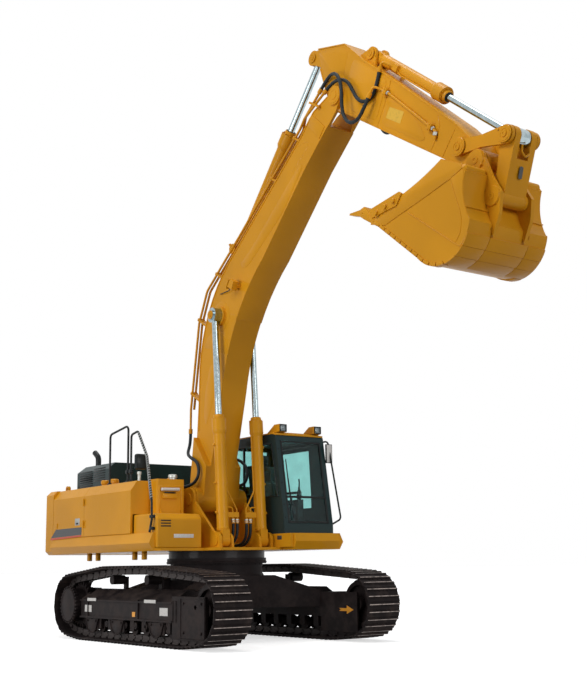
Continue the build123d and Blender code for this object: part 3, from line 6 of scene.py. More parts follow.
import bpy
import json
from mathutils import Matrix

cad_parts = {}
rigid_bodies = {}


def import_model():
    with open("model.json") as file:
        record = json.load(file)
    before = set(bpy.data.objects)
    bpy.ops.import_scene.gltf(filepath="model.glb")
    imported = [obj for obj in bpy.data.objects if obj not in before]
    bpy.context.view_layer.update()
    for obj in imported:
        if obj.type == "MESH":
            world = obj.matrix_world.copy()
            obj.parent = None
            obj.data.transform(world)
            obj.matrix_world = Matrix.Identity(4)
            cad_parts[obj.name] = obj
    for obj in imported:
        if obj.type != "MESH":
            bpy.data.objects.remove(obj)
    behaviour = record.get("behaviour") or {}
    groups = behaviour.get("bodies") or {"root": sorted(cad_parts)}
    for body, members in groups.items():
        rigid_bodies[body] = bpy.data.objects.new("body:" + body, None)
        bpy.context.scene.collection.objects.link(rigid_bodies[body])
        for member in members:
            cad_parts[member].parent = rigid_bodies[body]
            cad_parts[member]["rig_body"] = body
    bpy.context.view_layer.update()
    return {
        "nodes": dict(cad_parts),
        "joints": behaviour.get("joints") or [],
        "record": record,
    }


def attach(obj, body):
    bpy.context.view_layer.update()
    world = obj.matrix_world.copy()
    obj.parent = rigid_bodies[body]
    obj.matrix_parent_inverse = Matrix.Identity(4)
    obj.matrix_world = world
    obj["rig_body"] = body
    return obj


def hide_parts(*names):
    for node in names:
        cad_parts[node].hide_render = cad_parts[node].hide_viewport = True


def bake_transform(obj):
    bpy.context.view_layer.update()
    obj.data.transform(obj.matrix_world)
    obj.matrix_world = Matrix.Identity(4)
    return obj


bl_info = {
    "name": "Crawler Excavator",
    "version": (1, 0, 0),
    "blender": (4, 5, 0),
    "location": "3D View > Sidebar > Excavator",
    "description": "Fittings, finishes and studio of a crawler excavator",
    "category": "Add Mesh",
}

import json
from math import atan2, cos, pi, radians, sin

import bpy
from bpy.props import FloatProperty, FloatVectorProperty, IntProperty, PointerProperty
from mathutils import Matrix, Vector

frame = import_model()
joint_place = {joint["name"]: Vector(joint["pos_m"]) for joint in frame["joints"] if "pos_m" in joint}


# ---------------------------------------------------------------- places
class SideFrame:
    """A frame in the machine's side view. along and up lie in it, and y is across the machine."""

    def __init__(self, origin, angle=0.0):
        self.origin = Vector(origin)
        self.turn = Matrix.Rotation(-angle, 4, "Y")

    def __call__(self, along, up, y=0.0):
        return self.origin + self.turn @ Vector((along, y, up))

    def matrix(self, along=0.0, up=0.0, y=0.0, roll=0.0):
        """Takes a mesh drawn in X, Y and Z to a place in the frame, rolled in the side view."""
        return Matrix.Translation(self(along, up, y)) @ self.turn @ Matrix.Rotation(-roll, 4, "Y")


def angle_to(start, end):
    """The angle of a line in the side view, counted up from the front."""
    return atan2(end.z - start.z, end.x - start.x)


def flat_on(place):
    """The same place on the machine's middle plane."""
    return Vector((place.x, 0.0, place.z))


slew = flat_on(joint_place["slew"])
boom_foot = flat_on(joint_place["boom_lift"])
arm_foot = flat_on(joint_place["arm_swing"])
bucket_foot = flat_on(joint_place["bucket_curl"])
boom_cylinder_foot = flat_on(joint_place["boom_cylinder_right"])
arm_cylinder_foot = flat_on(joint_place["arm_cylinder"])
bucket_cylinder_foot = flat_on(joint_place["bucket_cylinder"])
rocker_foot = flat_on(joint_place["rocker_turn"])
link_foot = flat_on(joint_place["link_turn"])

machine = SideFrame((slew.x, 0.0, 0.0))
boom_frame = SideFrame(boom_foot, angle_to(boom_foot, arm_foot))
arm_frame = SideFrame(arm_foot, angle_to(arm_foot, bucket_foot))
bucket_frame = SideFrame(bucket_foot, radians(186.2))
boom_length = (arm_foot - boom_foot).length
arm_length = (bucket_foot - arm_foot).length


boom_rod_eye = boom_frame(2.680, 1.086)
arm_rod_eye = arm_frame(-0.970, 0.346)
link_eye = arm_frame(arm_length + 0.252, 0.412)
boom_cylinder_frame = SideFrame(boom_cylinder_foot, angle_to(boom_cylinder_foot, boom_rod_eye))
arm_cylinder_frame = SideFrame(arm_cylinder_foot, angle_to(arm_cylinder_foot, arm_rod_eye))
bucket_cylinder_frame = SideFrame(bucket_cylinder_foot, angle_to(bucket_cylinder_foot, link_eye))
link_frame = SideFrame(link_eye, angle_to(link_eye, link_foot))


# ---------------------------------------------------------------- settings
class PaintSettings(bpy.types.PropertyGroup):
    """Colours of the machine."""

    yellow: FloatVectorProperty(
        name="Yellow", description="Enamel of the house, boom and bucket", subtype="COLOR", default=(0.66, 0.290, 0.010)
    )
    dark_green: FloatVectorProperty(
        name="Dark green", description="Enamel of the cab and the hood", subtype="COLOR", default=(0.014, 0.032, 0.033)
    )
    black: FloatVectorProperty(
        name="Black", description="Rails, brackets and trim", subtype="COLOR", default=(0.012, 0.015, 0.015)
    )
    undercarriage: FloatVectorProperty(
        name="Undercarriage", description="Paint of the track frames", subtype="COLOR", default=(0.016, 0.012, 0.012)
    )
    steel: FloatVectorProperty(
        name="Track steel", description="Shoes and links", subtype="COLOR", default=(0.016, 0.012, 0.012)
    )
    glass: FloatVectorProperty(
        name="Glass", description="Tint of the cab's panes", subtype="COLOR", default=(0.50, 0.77, 0.75)
    )
    rubber: FloatVectorProperty(
        name="Rubber", description="Hoses and seals", subtype="COLOR", default=(0.010, 0.014, 0.016)
    )
    mark: FloatVectorProperty(
        name="Mark", description="Arrow on the track guard", subtype="COLOR", default=(0.80, 0.33, 0.02)
    )


class FittingSettings(bpy.types.PropertyGroup):
    """Sizes of fittings that repeat over the machine."""

    shoe_count: IntProperty(
        name="Shoes", description="Shoes in one track", default=50, min=20
    )


class StudioSettings(bpy.types.PropertyGroup):
    """Camera and light."""

    camera_place: FloatVectorProperty(
        name="Camera", description="Place of the camera", subtype="TRANSLATION", default=(13.338, -9.472, 1.096)
    )
    camera_turn: FloatVectorProperty(
        name="Camera turn", description="View azimuth, pitch and roll", subtype="EULER",
        default=(radians(143.64), radians(10.74), radians(-0.83)),
    )
    lens: FloatProperty(name="Lens", description="Focal length in millimetres", default=57.3)
    side_sun: FloatProperty(name="Side sun", description="Strength of the sun on the right side", default=0.55)
    top_sun: FloatProperty(name="Top sun", description="Strength of the sun from above", default=1.05)
    front_sun: FloatProperty(name="Front sun", description="Strength of the sun on the front", default=1.10)
    panel: FloatProperty(name="Panels", description="Power of the two lamp panels in watts", default=520.0)
    sky: FloatProperty(name="Sky", description="Strength of the light from all round", default=0.24)


# ---------------------------------------------------------------- shader maths
class Wire:
    """A socket of a material. Arithmetic on it adds Math nodes."""

    def __init__(self, finish, socket):
        self.finish = finish
        self.socket = socket

    def maths(self, operation, *values, clamp=False):
        settings = {"operation": operation, "use_clamp": clamp}
        return self.finish.node("ShaderNodeMath", settings, *values)

    def __add__(self, other):
        return self.maths("ADD", self, other)

    __radd__ = __add__

    def __sub__(self, other):
        return self.maths("SUBTRACT", self, other)

    def __rsub__(self, other):
        return self.maths("SUBTRACT", other, self)

    def __mul__(self, other):
        return self.maths("MULTIPLY", self, other)

    __rmul__ = __mul__

    def __truediv__(self, other):
        return self.maths("DIVIDE", self, other)

    def __pow__(self, other):
        return self.maths("POWER", self, other)

    def __abs__(self):
        return self.maths("ABSOLUTE", self)

    def __gt__(self, other):
        return self.maths("GREATER_THAN", self, other)

    def __lt__(self, other):
        return self.maths("LESS_THAN", self, other)

    def at_least(self, other):
        return self.maths("MAXIMUM", self, other)

    def wave(self):
        return self.maths("SINE", self)

    def ramp(self, low, high, start=0.0, end=1.0):
        """Goes smoothly from start to end as the value goes from low to high."""
        settings = {"interpolation_type": "SMOOTHSTEP"}
        return self.finish.node("ShaderNodeMapRange", settings, self, low, high, start, end)


class Finish:
    """A material in the making, with its one surface shader."""

    def __init__(self, name, **shader_values):
        self.name = name
        self.material = bpy.data.materials.new(name)
        self.material.use_nodes = True
        self.tree = self.material.node_tree
        self.shader = next(n for n in self.tree.nodes if n.type == "BSDF_PRINCIPLED")
        for socket, value in shader_values.items():
            self.shader.inputs[socket.replace("_", " ").title().replace("Ior", "IOR")].default_value = value

    @classmethod
    def over(cls, tree):
        """The same helper for a tree that has no surface shader of its own, as the world's."""
        finish = cls.__new__(cls)
        finish.tree = tree
        return finish

    def node(self, kind, settings=None, *values, output=0, **named):
        """Adds a node: its settings first, then the values or links of its inputs in order or by name."""
        node = self.tree.nodes.new(kind)
        for name, value in (settings or {}).items():
            if name == "stops":
                for spare in list(node.color_ramp.elements)[2:]:
                    node.color_ramp.elements.remove(spare)
                for i, (place, colour) in enumerate(value):
                    element = node.color_ramp.elements[i] if i < 2 else node.color_ramp.elements.new(place)
                    element.position = place
                    element.color = (*colour, 1.0)
            else:
                setattr(node, name, value)
        for socket, value in [*zip(node.inputs, values), *((node.inputs[k], v) for k, v in named.items())]:
            self.put(socket, value)
        return Wire(self, node.outputs[output])

    def put(self, socket, value):
        if isinstance(value, Wire):
            self.tree.links.new(value.socket, socket)
        elif socket.type == "RGBA" and len(value) == 3:
            socket.default_value = (*value, 1.0)
        else:
            socket.default_value = value

    def place(self):
        return self.node("ShaderNodeTexCoord", output=3)

    def axes(self):
        """The X, Y and Z of a point of the object."""
        split = self.tree.nodes.new("ShaderNodeSeparateXYZ")
        self.tree.links.new(self.place().socket, split.inputs[0])
        return [Wire(self, socket) for socket in split.outputs]

    def noise(self, scale, detail=3.0, roughness=0.55, at=None):
        return self.node(
            "ShaderNodeTexNoise", None, Vector=at or self.place(), Scale=scale, Detail=detail, Roughness=roughness
        )

    def mix(self, share, first, second):
        """Colours mixed by a share."""
        node = self.tree.nodes.new("ShaderNodeMix")
        node.data_type = "RGBA"
        colours = [s for s in node.inputs if s.type == "RGBA"]
        self.put(node.inputs[0], share)
        self.put(colours[0], first)
        self.put(colours[1], second)
        return Wire(self, next(s for s in node.outputs if s.type == "RGBA"))

    def facing(self):
        """The Z of the surface's normal: 1 on top, -1 below."""
        normal = self.node("ShaderNodeNewGeometry", output=1)
        split = self.tree.nodes.new("ShaderNodeSeparateXYZ")
        self.tree.links.new(normal.socket, split.inputs[0])
        return Wire(self, split.outputs[2])

    def edges(self, low=0.53, high=0.60):
        """Where an edge sticks out, from the pointiness of the mesh."""
        return self.node("ShaderNodeNewGeometry", output=7).ramp(low, high)

    def colour(self, value):
        self.put(self.shader.inputs["Base Color"], value)
        return self

    def roughness(self, value):
        self.put(self.shader.inputs["Roughness"], value)
        return self

    def bump(self, height, strength=0.3, distance=0.002):
        node = self.node("ShaderNodeBump", None, Height=height, Strength=strength, Distance=distance)
        self.put(self.shader.inputs["Normal"], node)
        return self


def tint(colour, factor):
    return tuple(min(1.0, c * factor) for c in colour)


finishes = {}


def make_enamel(name, colour, sheen=0.32, dust=0.25, coat=0.06):
    """Sprayed paint: slow changes of tone, faint orange peel, dust where it settles."""
    finish = Finish(name, coat_weight=coat, coat_roughness=0.08, specular_ior_level=0.10)
    tone = finish.noise(0.9, 2.0)
    peel = finish.noise(260.0, 1.0)
    speck = finish.noise(34.0, 4.0)
    dusty = tuple(0.55 * c + 0.45 * d for c, d in zip(colour, (0.36, 0.27, 0.16)))
    settled = finish.facing().ramp(0.2, 1.0) * speck.ramp(0.46, 0.72) * dust
    body = finish.mix(tone.ramp(0.35, 0.65), tint(colour, 0.93), tint(colour, 1.05))
    finish.colour(finish.mix(settled, body, dusty))
    finish.roughness(speck.ramp(0.3, 0.75) * 0.12 + settled * 0.3 + sheen)
    finish.bump(peel, 0.05, 0.001)
    return finish


def make_deck_enamel(name, colour, ring_paint_and_shade, ring_top=1.334):
    """The enamel of the deck, with everything below the ring's top in one dark colour: the ring's black paint and
    painted shade under the deck.
    """
    finish = make_enamel(name, colour)
    _, _, z = finish.axes()
    body = Wire(finish, finish.shader.inputs["Base Color"].links[0].from_socket)
    # Below ring_top the deck takes one dark colour, which stands for the ring's black paint and for painted shade under
    # the deck.
    return finish.colour(finish.mix(z > ring_top, ring_paint_and_shade, body))


def make_frame_paint(name, colour):
    """Dull paint of the undercarriage, with earth dust on ledges and low down."""
    finish = Finish(name, specular_ior_level=0.06)
    _, _, z = finish.axes()
    cloud = finish.noise(5.0, 5.0, 0.6)
    grain = finish.noise(140.0, 3.0)
    low_down = z.ramp(1.1, 0.1)
    settled = (finish.facing().ramp(0.1, 0.9) * 0.5 + low_down * 0.35) * cloud.ramp(0.38, 0.68)
    body = finish.mix(cloud.ramp(0.3, 0.7), tint(colour, 0.8), tint(colour, 1.35))
    finish.colour(finish.mix(settled, body, (0.060, 0.044, 0.038)))
    finish.roughness(settled * 0.35 + grain * 0.12 + 0.42)
    finish.bump(grain, 0.18, 0.0015)
    return finish


def make_track_steel(name, colour):
    """Rolled steel with a dark brown skin, dusty in the hollows."""
    finish = Finish(name, specular_ior_level=0.08)
    cloud = finish.noise(2.6, 6.0, 0.62)
    grain = finish.noise(90.0, 4.0)
    finish.colour(finish.mix(cloud.ramp(0.45, 0.75), tint(colour, 0.8), (0.050, 0.036, 0.032)))
    finish.roughness(grain * 0.18 + 0.52)
    finish.bump(grain + cloud, 0.15, 0.002)
    return finish


def make_worn_edge(name, colour):
    """Steel rubbed bright on the tips of the ribs, with dark pits left."""
    finish = Finish(name, metallic=0.6)
    cloud = finish.noise(14.0, 5.0, 0.6)
    finish.colour(finish.mix(cloud.ramp(0.35, 0.6), tint(colour, 0.35), colour))
    finish.roughness(cloud * 0.2 + 0.30)
    finish.bump(cloud, 0.2, 0.001)
    return finish


def make_chrome(name):
    """Hard chrome of the rods, with faint lengthways streaks of oil."""
    finish = Finish(name, metallic=1.0)
    streak = finish.noise(18.0, 4.0, 0.7)
    finish.colour(finish.mix(streak.ramp(0.35, 0.7), (0.30, 0.37, 0.39), (0.46, 0.54, 0.56)))
    finish.roughness(streak * 0.10 + 0.05)
    return finish


def make_glass(name, colour):
    """Tinted safety glass, thin, with a film of dust."""
    finish = Finish(name, ior=1.03, transmission_weight=1.0, coat_weight=0.35, coat_roughness=0.02)
    film = finish.noise(3.0, 4.0)
    finish.colour(finish.mix(film.ramp(0.3, 0.75), tint(colour, 0.94), tint(colour, 1.04)))
    finish.roughness(film * 0.03)
    return finish


def make_rubber(name, colour, scale=180.0):
    finish = Finish(name, specular_ior_level=0.2)
    grain = finish.noise(scale, 3.0)
    cloud = finish.noise(6.0, 3.0)
    finish.colour(finish.mix(cloud.ramp(0.4, 0.75), colour, tint(colour, 2.2)))
    finish.roughness(grain * 0.2 + 0.45)
    finish.bump(grain, 0.15, 0.0008)
    return finish


def make_metal(name, colour, roughness=0.35, metallic=0.9):
    """Plated or cast fittings."""
    finish = Finish(name, metallic=metallic)
    grain = finish.noise(60.0, 4.0)
    finish.colour(finish.mix(grain.ramp(0.35, 0.7), tint(colour, 0.8), tint(colour, 1.1)))
    finish.roughness(grain * 0.2 + roughness)
    finish.bump(grain, 0.1, 0.001)
    return finish


def make_cloth(name, colour):
    """Woven seat cover: two crossing sets of threads."""
    finish = Finish(name, sheen_weight=0.3)
    x, y, z = finish.axes()
    warp = (y * 1400.0).wave()
    weft = ((x + z) * 1400.0).wave()
    weave = warp.at_least(weft)
    cloud = finish.noise(9.0, 3.0)
    finish.colour(finish.mix(weave.ramp(-0.4, 1.0), tint(colour, 0.6), tint(colour, 1.4)))
    finish.roughness(cloud * 0.1 + 0.82)
    finish.bump(weave, 0.5, 0.001)
    return finish


def make_plastic(name, colour, roughness=0.5):
    finish = Finish(name)
    grain = finish.noise(420.0, 2.0)
    cloud = finish.noise(4.0, 3.0)
    finish.colour(finish.mix(cloud.ramp(0.35, 0.7), tint(colour, 0.85), tint(colour, 1.15)))
    finish.roughness(grain * 0.15 + roughness)
    finish.bump(grain, 0.2, 0.0006)
    return finish


def make_lamp_lens(name):
    """Ribbed lens over a dark reflector."""
    finish = Finish(name, coat_weight=0.8, coat_roughness=0.03, metallic=0.3)
    _, y, _ = finish.axes()
    rib = (y * 700.0).wave()
    finish.colour(finish.mix(rib.ramp(-1.0, 1.0), (0.05, 0.07, 0.075), (0.16, 0.20, 0.21)))
    finish.roughness(rib * 0.05 + 0.16)
    finish.bump(rib, 0.4, 0.001)
    return finish


def make_plate(name, colour):
    """A blank printed plate, a little scuffed."""
    finish = Finish(name)
    scuff = finish.noise(40.0, 5.0)
    finish.colour(finish.mix(scuff.ramp(0.5, 0.75), colour, tint(colour, 0.72)))
    finish.roughness(scuff * 0.2 + 0.35)
    return finish


def make_finishes(paint):
    """Every finish by the name that the operators ask for."""
    made = [
        make_enamel("yellow_enamel", tuple(paint.yellow)),
        # The undercarriage colour also gives the deck's ring its black paint and the painted shade under the deck.
        make_deck_enamel("deck_enamel", tuple(paint.yellow), tuple(paint.undercarriage)),
        make_enamel("green_enamel", tuple(paint.dark_green), 0.30, 0.06, 0.15),
        make_enamel("black_enamel", tuple(paint.black), 0.32, 0.05, 0.08),
        make_frame_paint("frame_paint", tuple(paint.undercarriage)),
        make_track_steel("track_steel", tuple(paint.steel)),
        make_worn_edge("worn_edge", (0.36, 0.30, 0.27)),
        make_metal("link_steel", (0.050, 0.040, 0.038), 0.5, 0.6),
        make_chrome("hard_chrome"),
        make_glass("tinted_pane", tuple(paint.glass)),
        make_rubber("hose_rubber", tuple(paint.rubber)),
        make_metal("zinc_fitting", (0.42, 0.43, 0.40)),
        make_metal("bare_steel", (0.36, 0.34, 0.31), 0.3),
        make_metal("cast_engine", (0.11, 0.115, 0.115), 0.5, 0.4),
        make_cloth("seat_weave", (0.035, 0.036, 0.042)),
        make_plastic("console_plastic", (0.035, 0.038, 0.040)),
        make_plastic("pale_plastic", (0.42, 0.44, 0.43)),
        make_plastic("red_plastic", (0.40, 0.018, 0.012), 0.25),
        make_lamp_lens("lamp_lens"),
        make_plate("blank_plate", (0.62, 0.60, 0.57)),
        make_plate("blank_yellow_plate", (0.72, 0.42, 0.03)),
        make_plate("stripe_dark", (0.030, 0.032, 0.034)),
        make_plate("stripe_red", (0.52, 0.05, 0.02)),
        make_plate("mark_orange", tuple(paint.mark)),
    ]
    finishes.update({finish.name: finish.material for finish in made})


slot_finishes = {
    "yellow_paint": "yellow_enamel",
    "frame_black": "frame_paint",
    "track_steel": "track_steel",
    "chrome_rod": "hard_chrome",
    "dark_green": "green_enamel",
    "tinted_glass": "tinted_pane",
    "black_paint": "black_enamel",
    "seat_cloth": "seat_weave",
    "engine_grey": "cast_engine",
    "hose_rubber": "hose_rubber",
}


# ---------------------------------------------------------------- modelling
def clear():
    if bpy.context.mode != "OBJECT":
        bpy.ops.object.mode_set(mode="OBJECT")
    bpy.ops.object.select_all(action="DESELECT")


def edit(piece):
    clear()
    piece.select_set(True)
    bpy.context.view_layer.objects.active = piece
    bpy.ops.object.mode_set(mode="EDIT")
    bpy.ops.mesh.select_all(action="SELECT")


def settle(piece):
    """Back to object mode, with the piece's transform in its mesh."""
    clear()
    piece.data.transform(piece.matrix_world)
    piece.matrix_world = Matrix.Identity(4)
    return piece


def block(name, low, high, bevel=0.004, segments=2):
    """A box between two corners, with rounded edges."""
    clear()
    bpy.ops.mesh.primitive_cube_add(size=1.0)
    piece = bpy.context.object
    piece.name = name
    size = [b - a for a, b in zip(low, high)]
    middle = [(a + b) / 2 for a, b in zip(low, high)]
    piece.data.transform(Matrix.Translation(middle) @ Matrix.Diagonal((*size, 1.0)))
    if bevel:
        edit(piece)
        bpy.ops.mesh.bevel(offset=min(bevel, min(size) * 0.45), segments=segments, affect="EDGES")
    return settle(piece)


def turned(name, profile, sides=24, matrix=None):
    """A lathe part up Z. The profile is pairs of height and radius, from the bottom."""
    clear()
    height, radius = profile[0]
    bpy.ops.mesh.primitive_circle_add(vertices=sides, radius=radius, fill_type="NGON", location=(0.0, 0.0, height))
    piece = settle(bpy.context.object)
    piece.name = name
    edit(piece)
    for next_height, next_radius in profile[1:]:
        bpy.ops.mesh.extrude_region_move(TRANSFORM_OT_translate={"value": (0.0, 0.0, next_height - height)})
        grow = next_radius / radius
        bpy.ops.transform.resize(value=(grow, grow, 1.0), center_override=(0.0, 0.0, next_height))
        height, radius = next_height, next_radius
    bpy.ops.mesh.select_all(action="SELECT")
    bpy.ops.mesh.normals_make_consistent(inside=False)
    settle(piece)
    if matrix is not None:
        piece.data.transform(matrix)
    return piece


def plate(name, outline, low, high, matrix=None, bevel=0.0, holes=()):
    """A flat plate with an outline in X and Z, from low to high along Y, before the matrix places it."""
    clear()
    curve = bpy.data.curves.new(name, "CURVE")
    curve.dimensions = "2D"
    curve.fill_mode = "BOTH"
    curve.extrude = (high - low) / 2 - bevel
    curve.bevel_depth = bevel
    curve.bevel_resolution = 1
    curve.offset = -bevel
    for ring in (outline, *holes):
        spline = curve.splines.new("POLY")
        spline.points.add(len(ring) - 1)
        for point, (x, z) in zip(spline.points, ring):
            point.co = (x, z, 0.0, 1.0)
        spline.use_cyclic_u = True
    piece = bpy.data.objects.new(name, curve)
    bpy.context.scene.collection.objects.link(piece)
    piece.select_set(True)
    bpy.context.view_layer.objects.active = piece
    bpy.ops.object.convert(target="MESH")
    piece = bpy.context.object
    stand = Matrix.Translation((0.0, (low + high) / 2, 0.0)) @ Matrix.Rotation(pi / 2, 4, "X")
    piece.data.transform(stand)
    edit(piece)
    bpy.ops.mesh.remove_doubles(threshold=0.0002)
    bpy.ops.mesh.normals_make_consistent(inside=False)
    settle(piece)
    if matrix is not None:
        piece.data.transform(matrix)
    return piece


def facing_out(place, side):
    """Turns a round piece outward on the right (-1) or left (1) side, at a place."""
    return Matrix.Translation(place) @ Matrix.Rotation(-side * pi / 2, 4, "X")


def ring_of(centre, radius, count=16, start=0.0):
    """Points round a circle, for an outline or a hole."""
    return [
        (centre[0] + radius * cos(start + 2 * pi * i / count), centre[1] + radius * sin(start + 2 * pi * i / count))
        for i in range(count)
    ]


def pipe(name, points, radius, bend=0.05, sides=2):
    """A bent steel pipe through the points, as a mesh."""
    route = [Vector(points[0])]
    for before, corner, after in zip(points, points[1:], points[2:]):
        before, corner, after = Vector(before), Vector(corner), Vector(after)
        reach = min(bend, (before - corner).length * 0.45, (after - corner).length * 0.45)
        route += [corner.lerp(before, reach / (before - corner).length), corner]
        route += [corner.lerp(after, reach / (after - corner).length)]
    route.append(Vector(points[-1]))
    curve = bpy.data.curves.new(name, "CURVE")
    curve.dimensions = "3D"
    curve.bevel_depth = radius
    curve.bevel_resolution = sides
    curve.use_fill_caps = True
    curve.resolution_u = 5
    spline = curve.splines.new("NURBS")
    spline.points.add(len(route) - 1)
    for point, place in zip(spline.points, route):
        point.co = (*place, 1.0)
    spline.order_u = 3
    spline.use_endpoint_u = True
    piece = bpy.data.objects.new(name, curve)
    bpy.context.scene.collection.objects.link(piece)
    clear()
    piece.select_set(True)
    bpy.context.view_layer.objects.active = piece
    bpy.ops.object.convert(target="MESH")
    return settle(bpy.context.object)


def aim(start, direction):
    """Takes a part drawn up Z to a start point, pointing in a direction."""
    turn = Vector(direction).to_track_quat("Z", "Y").to_matrix().to_4x4()
    return Matrix.Translation(start) @ turn


def between(name, start, end, radius, sides=24, bevel=0.004):
    """A round bar from start to end with softened rims."""
    start, end = Vector(start), Vector(end)
    length = (end - start).length
    soft = min(bevel, radius * 0.5, length * 0.4)
    profile = [(0.0, radius - soft), (soft, radius), (length - soft, radius), (length, radius - soft)]
    return turned(name, profile, sides, aim(start, end - start))


def copies(piece, matrices, name):
    """One piece made of a copy of a part at each of the matrices; the part itself goes."""
    clear()
    made = []
    for matrix in matrices:
        copy = piece.copy()
        copy.data = piece.data.copy()
        copy.data.transform(matrix)
        bpy.context.scene.collection.objects.link(copy)
        made.append(copy)
    bpy.data.objects.remove(piece)
    return joined(made, name)


def joined(parts, name):
    clear()
    for part in parts:
        part.select_set(True)
    bpy.context.view_layer.objects.active = parts[0]
    if len(parts) > 1:
        bpy.ops.object.join()
    piece = bpy.context.object
    piece.name = name
    piece.data.name = name
    return settle(piece)


def dress(piece, body, finish, *nodes, smooth=35.0):
    """Gives a finished piece its finish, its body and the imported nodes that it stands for. No finish keeps its own."""
    clear()
    if finish:
        piece.data.materials.clear()
        piece.data.materials.append(finishes[finish])
    if piece.type == "MESH":
        piece.select_set(True)
        bpy.context.view_layer.objects.active = piece
        bpy.ops.object.shade_smooth_by_angle(angle=radians(smooth))
    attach(piece, body)
    if nodes:
        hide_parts(*nodes)
    return piece


def hex_bolt(size=0.030, height=0.4):
    """A bolt head on its washer, up Z, size across."""
    washer = turned("washer", [(0.0, size * 0.62), (size * 0.10, size * 0.62)], 12)
    head = turned(
        "head", [(size * 0.10, size * 0.5), (size * height, size * 0.5), (size * (height + 0.08), size * 0.42)],
        6
    )
    return joined([washer, head], "bolt")


def bolts(name, places, direction, size=0.030):
    """Bolt heads at places, all pointing in one direction."""
    return copies(hex_bolt(size), [aim(place, direction) for place in places], name)


def worn(piece, finish, worn_finish, picks):
    """Gives the faces that picks chooses a second finish. picks is asked with a face's centre."""
    piece.data.materials.clear()
    piece.data.materials.append(finishes[finish])
    piece.data.materials.append(finishes[worn_finish])
    for face in piece.data.polygons:
        face.material_index = 1 if picks(face) else 0
    return piece


# ---------------------------------------------------------------- tracks
gauge = 2.590
shoe_width = 0.600
shoe_plate = 0.014
rib_height = 0.028
link_height = 0.092
wheel_x = 2.005
wheel_z = 0.530
tread_radius = 0.443
ground_half = 1.580
carrier_x = (-0.800, 0.300)
top_run = 1.130


def touch(point, centre, radius, side):
    """Where a line from a point touches a circle."""
    reach = (point - centre).length
    swing = side * Vector((radius, (reach**2 - radius**2) ** 0.5)).angle(Vector((1.0, 0.0)))
    start = atan2(point.y - centre.y, point.x - centre.x) + swing
    return centre + radius * Vector((cos(start), sin(start)))


def track_joints(count):
    """The hinges of the shoes, spaced evenly along the loop, from the rear of the ground run."""
    radius = tread_radius + shoe_plate
    sprocket, idler = Vector((-wheel_x, wheel_z)), Vector((wheel_x, wheel_z))
    rear, front = Vector((-ground_half, rib_height)), Vector((ground_half, rib_height))
    carriers = [Vector((x, top_run - rib_height)) for x in carrier_x]
    corners = [rear, front, touch(front, idler, radius, 1)]
    corners += round_wheel(idler, corners[-1], touch(carriers[1], idler, radius, -1))
    corners += [carriers[1], carriers[0], touch(carriers[0], sprocket, radius, 1)]
    corners += round_wheel(sprocket, corners[-1], touch(rear, sprocket, radius, -1))
    corners.append(rear)
    lengths = [(b - a).length for a, b in zip(corners, corners[1:])]
    step = sum(lengths) / count
    joints, run, i = [], 0.0, 0
    for k in range(count):
        while run + lengths[i] < k * step:
            run += lengths[i]
            i += 1
        joints.append(corners[i].lerp(corners[i + 1], (k * step - run) / lengths[i]))
    return joints


def round_wheel(centre, start, end, pieces=72):
    """Points of the arc from start to end, the way that the shoes go round."""
    first = atan2(start.y - centre.y, start.x - centre.x)
    last = atan2(end.y - centre.y, end.x - centre.x)
    sweep = (last - first) % (2 * pi)
    radius = (start - centre).length
    turns = [first + sweep * i / pieces for i in range(1, pieces + 1)]
    return [centre + radius * Vector((cos(t), sin(t))) for t in turns]


class Step:
    """What all the steps share: make() does the work."""

    bl_options = {"REGISTER", "UNDO"}

    def execute(self, context):
        self.make(context)
        return {"FINISHED"}


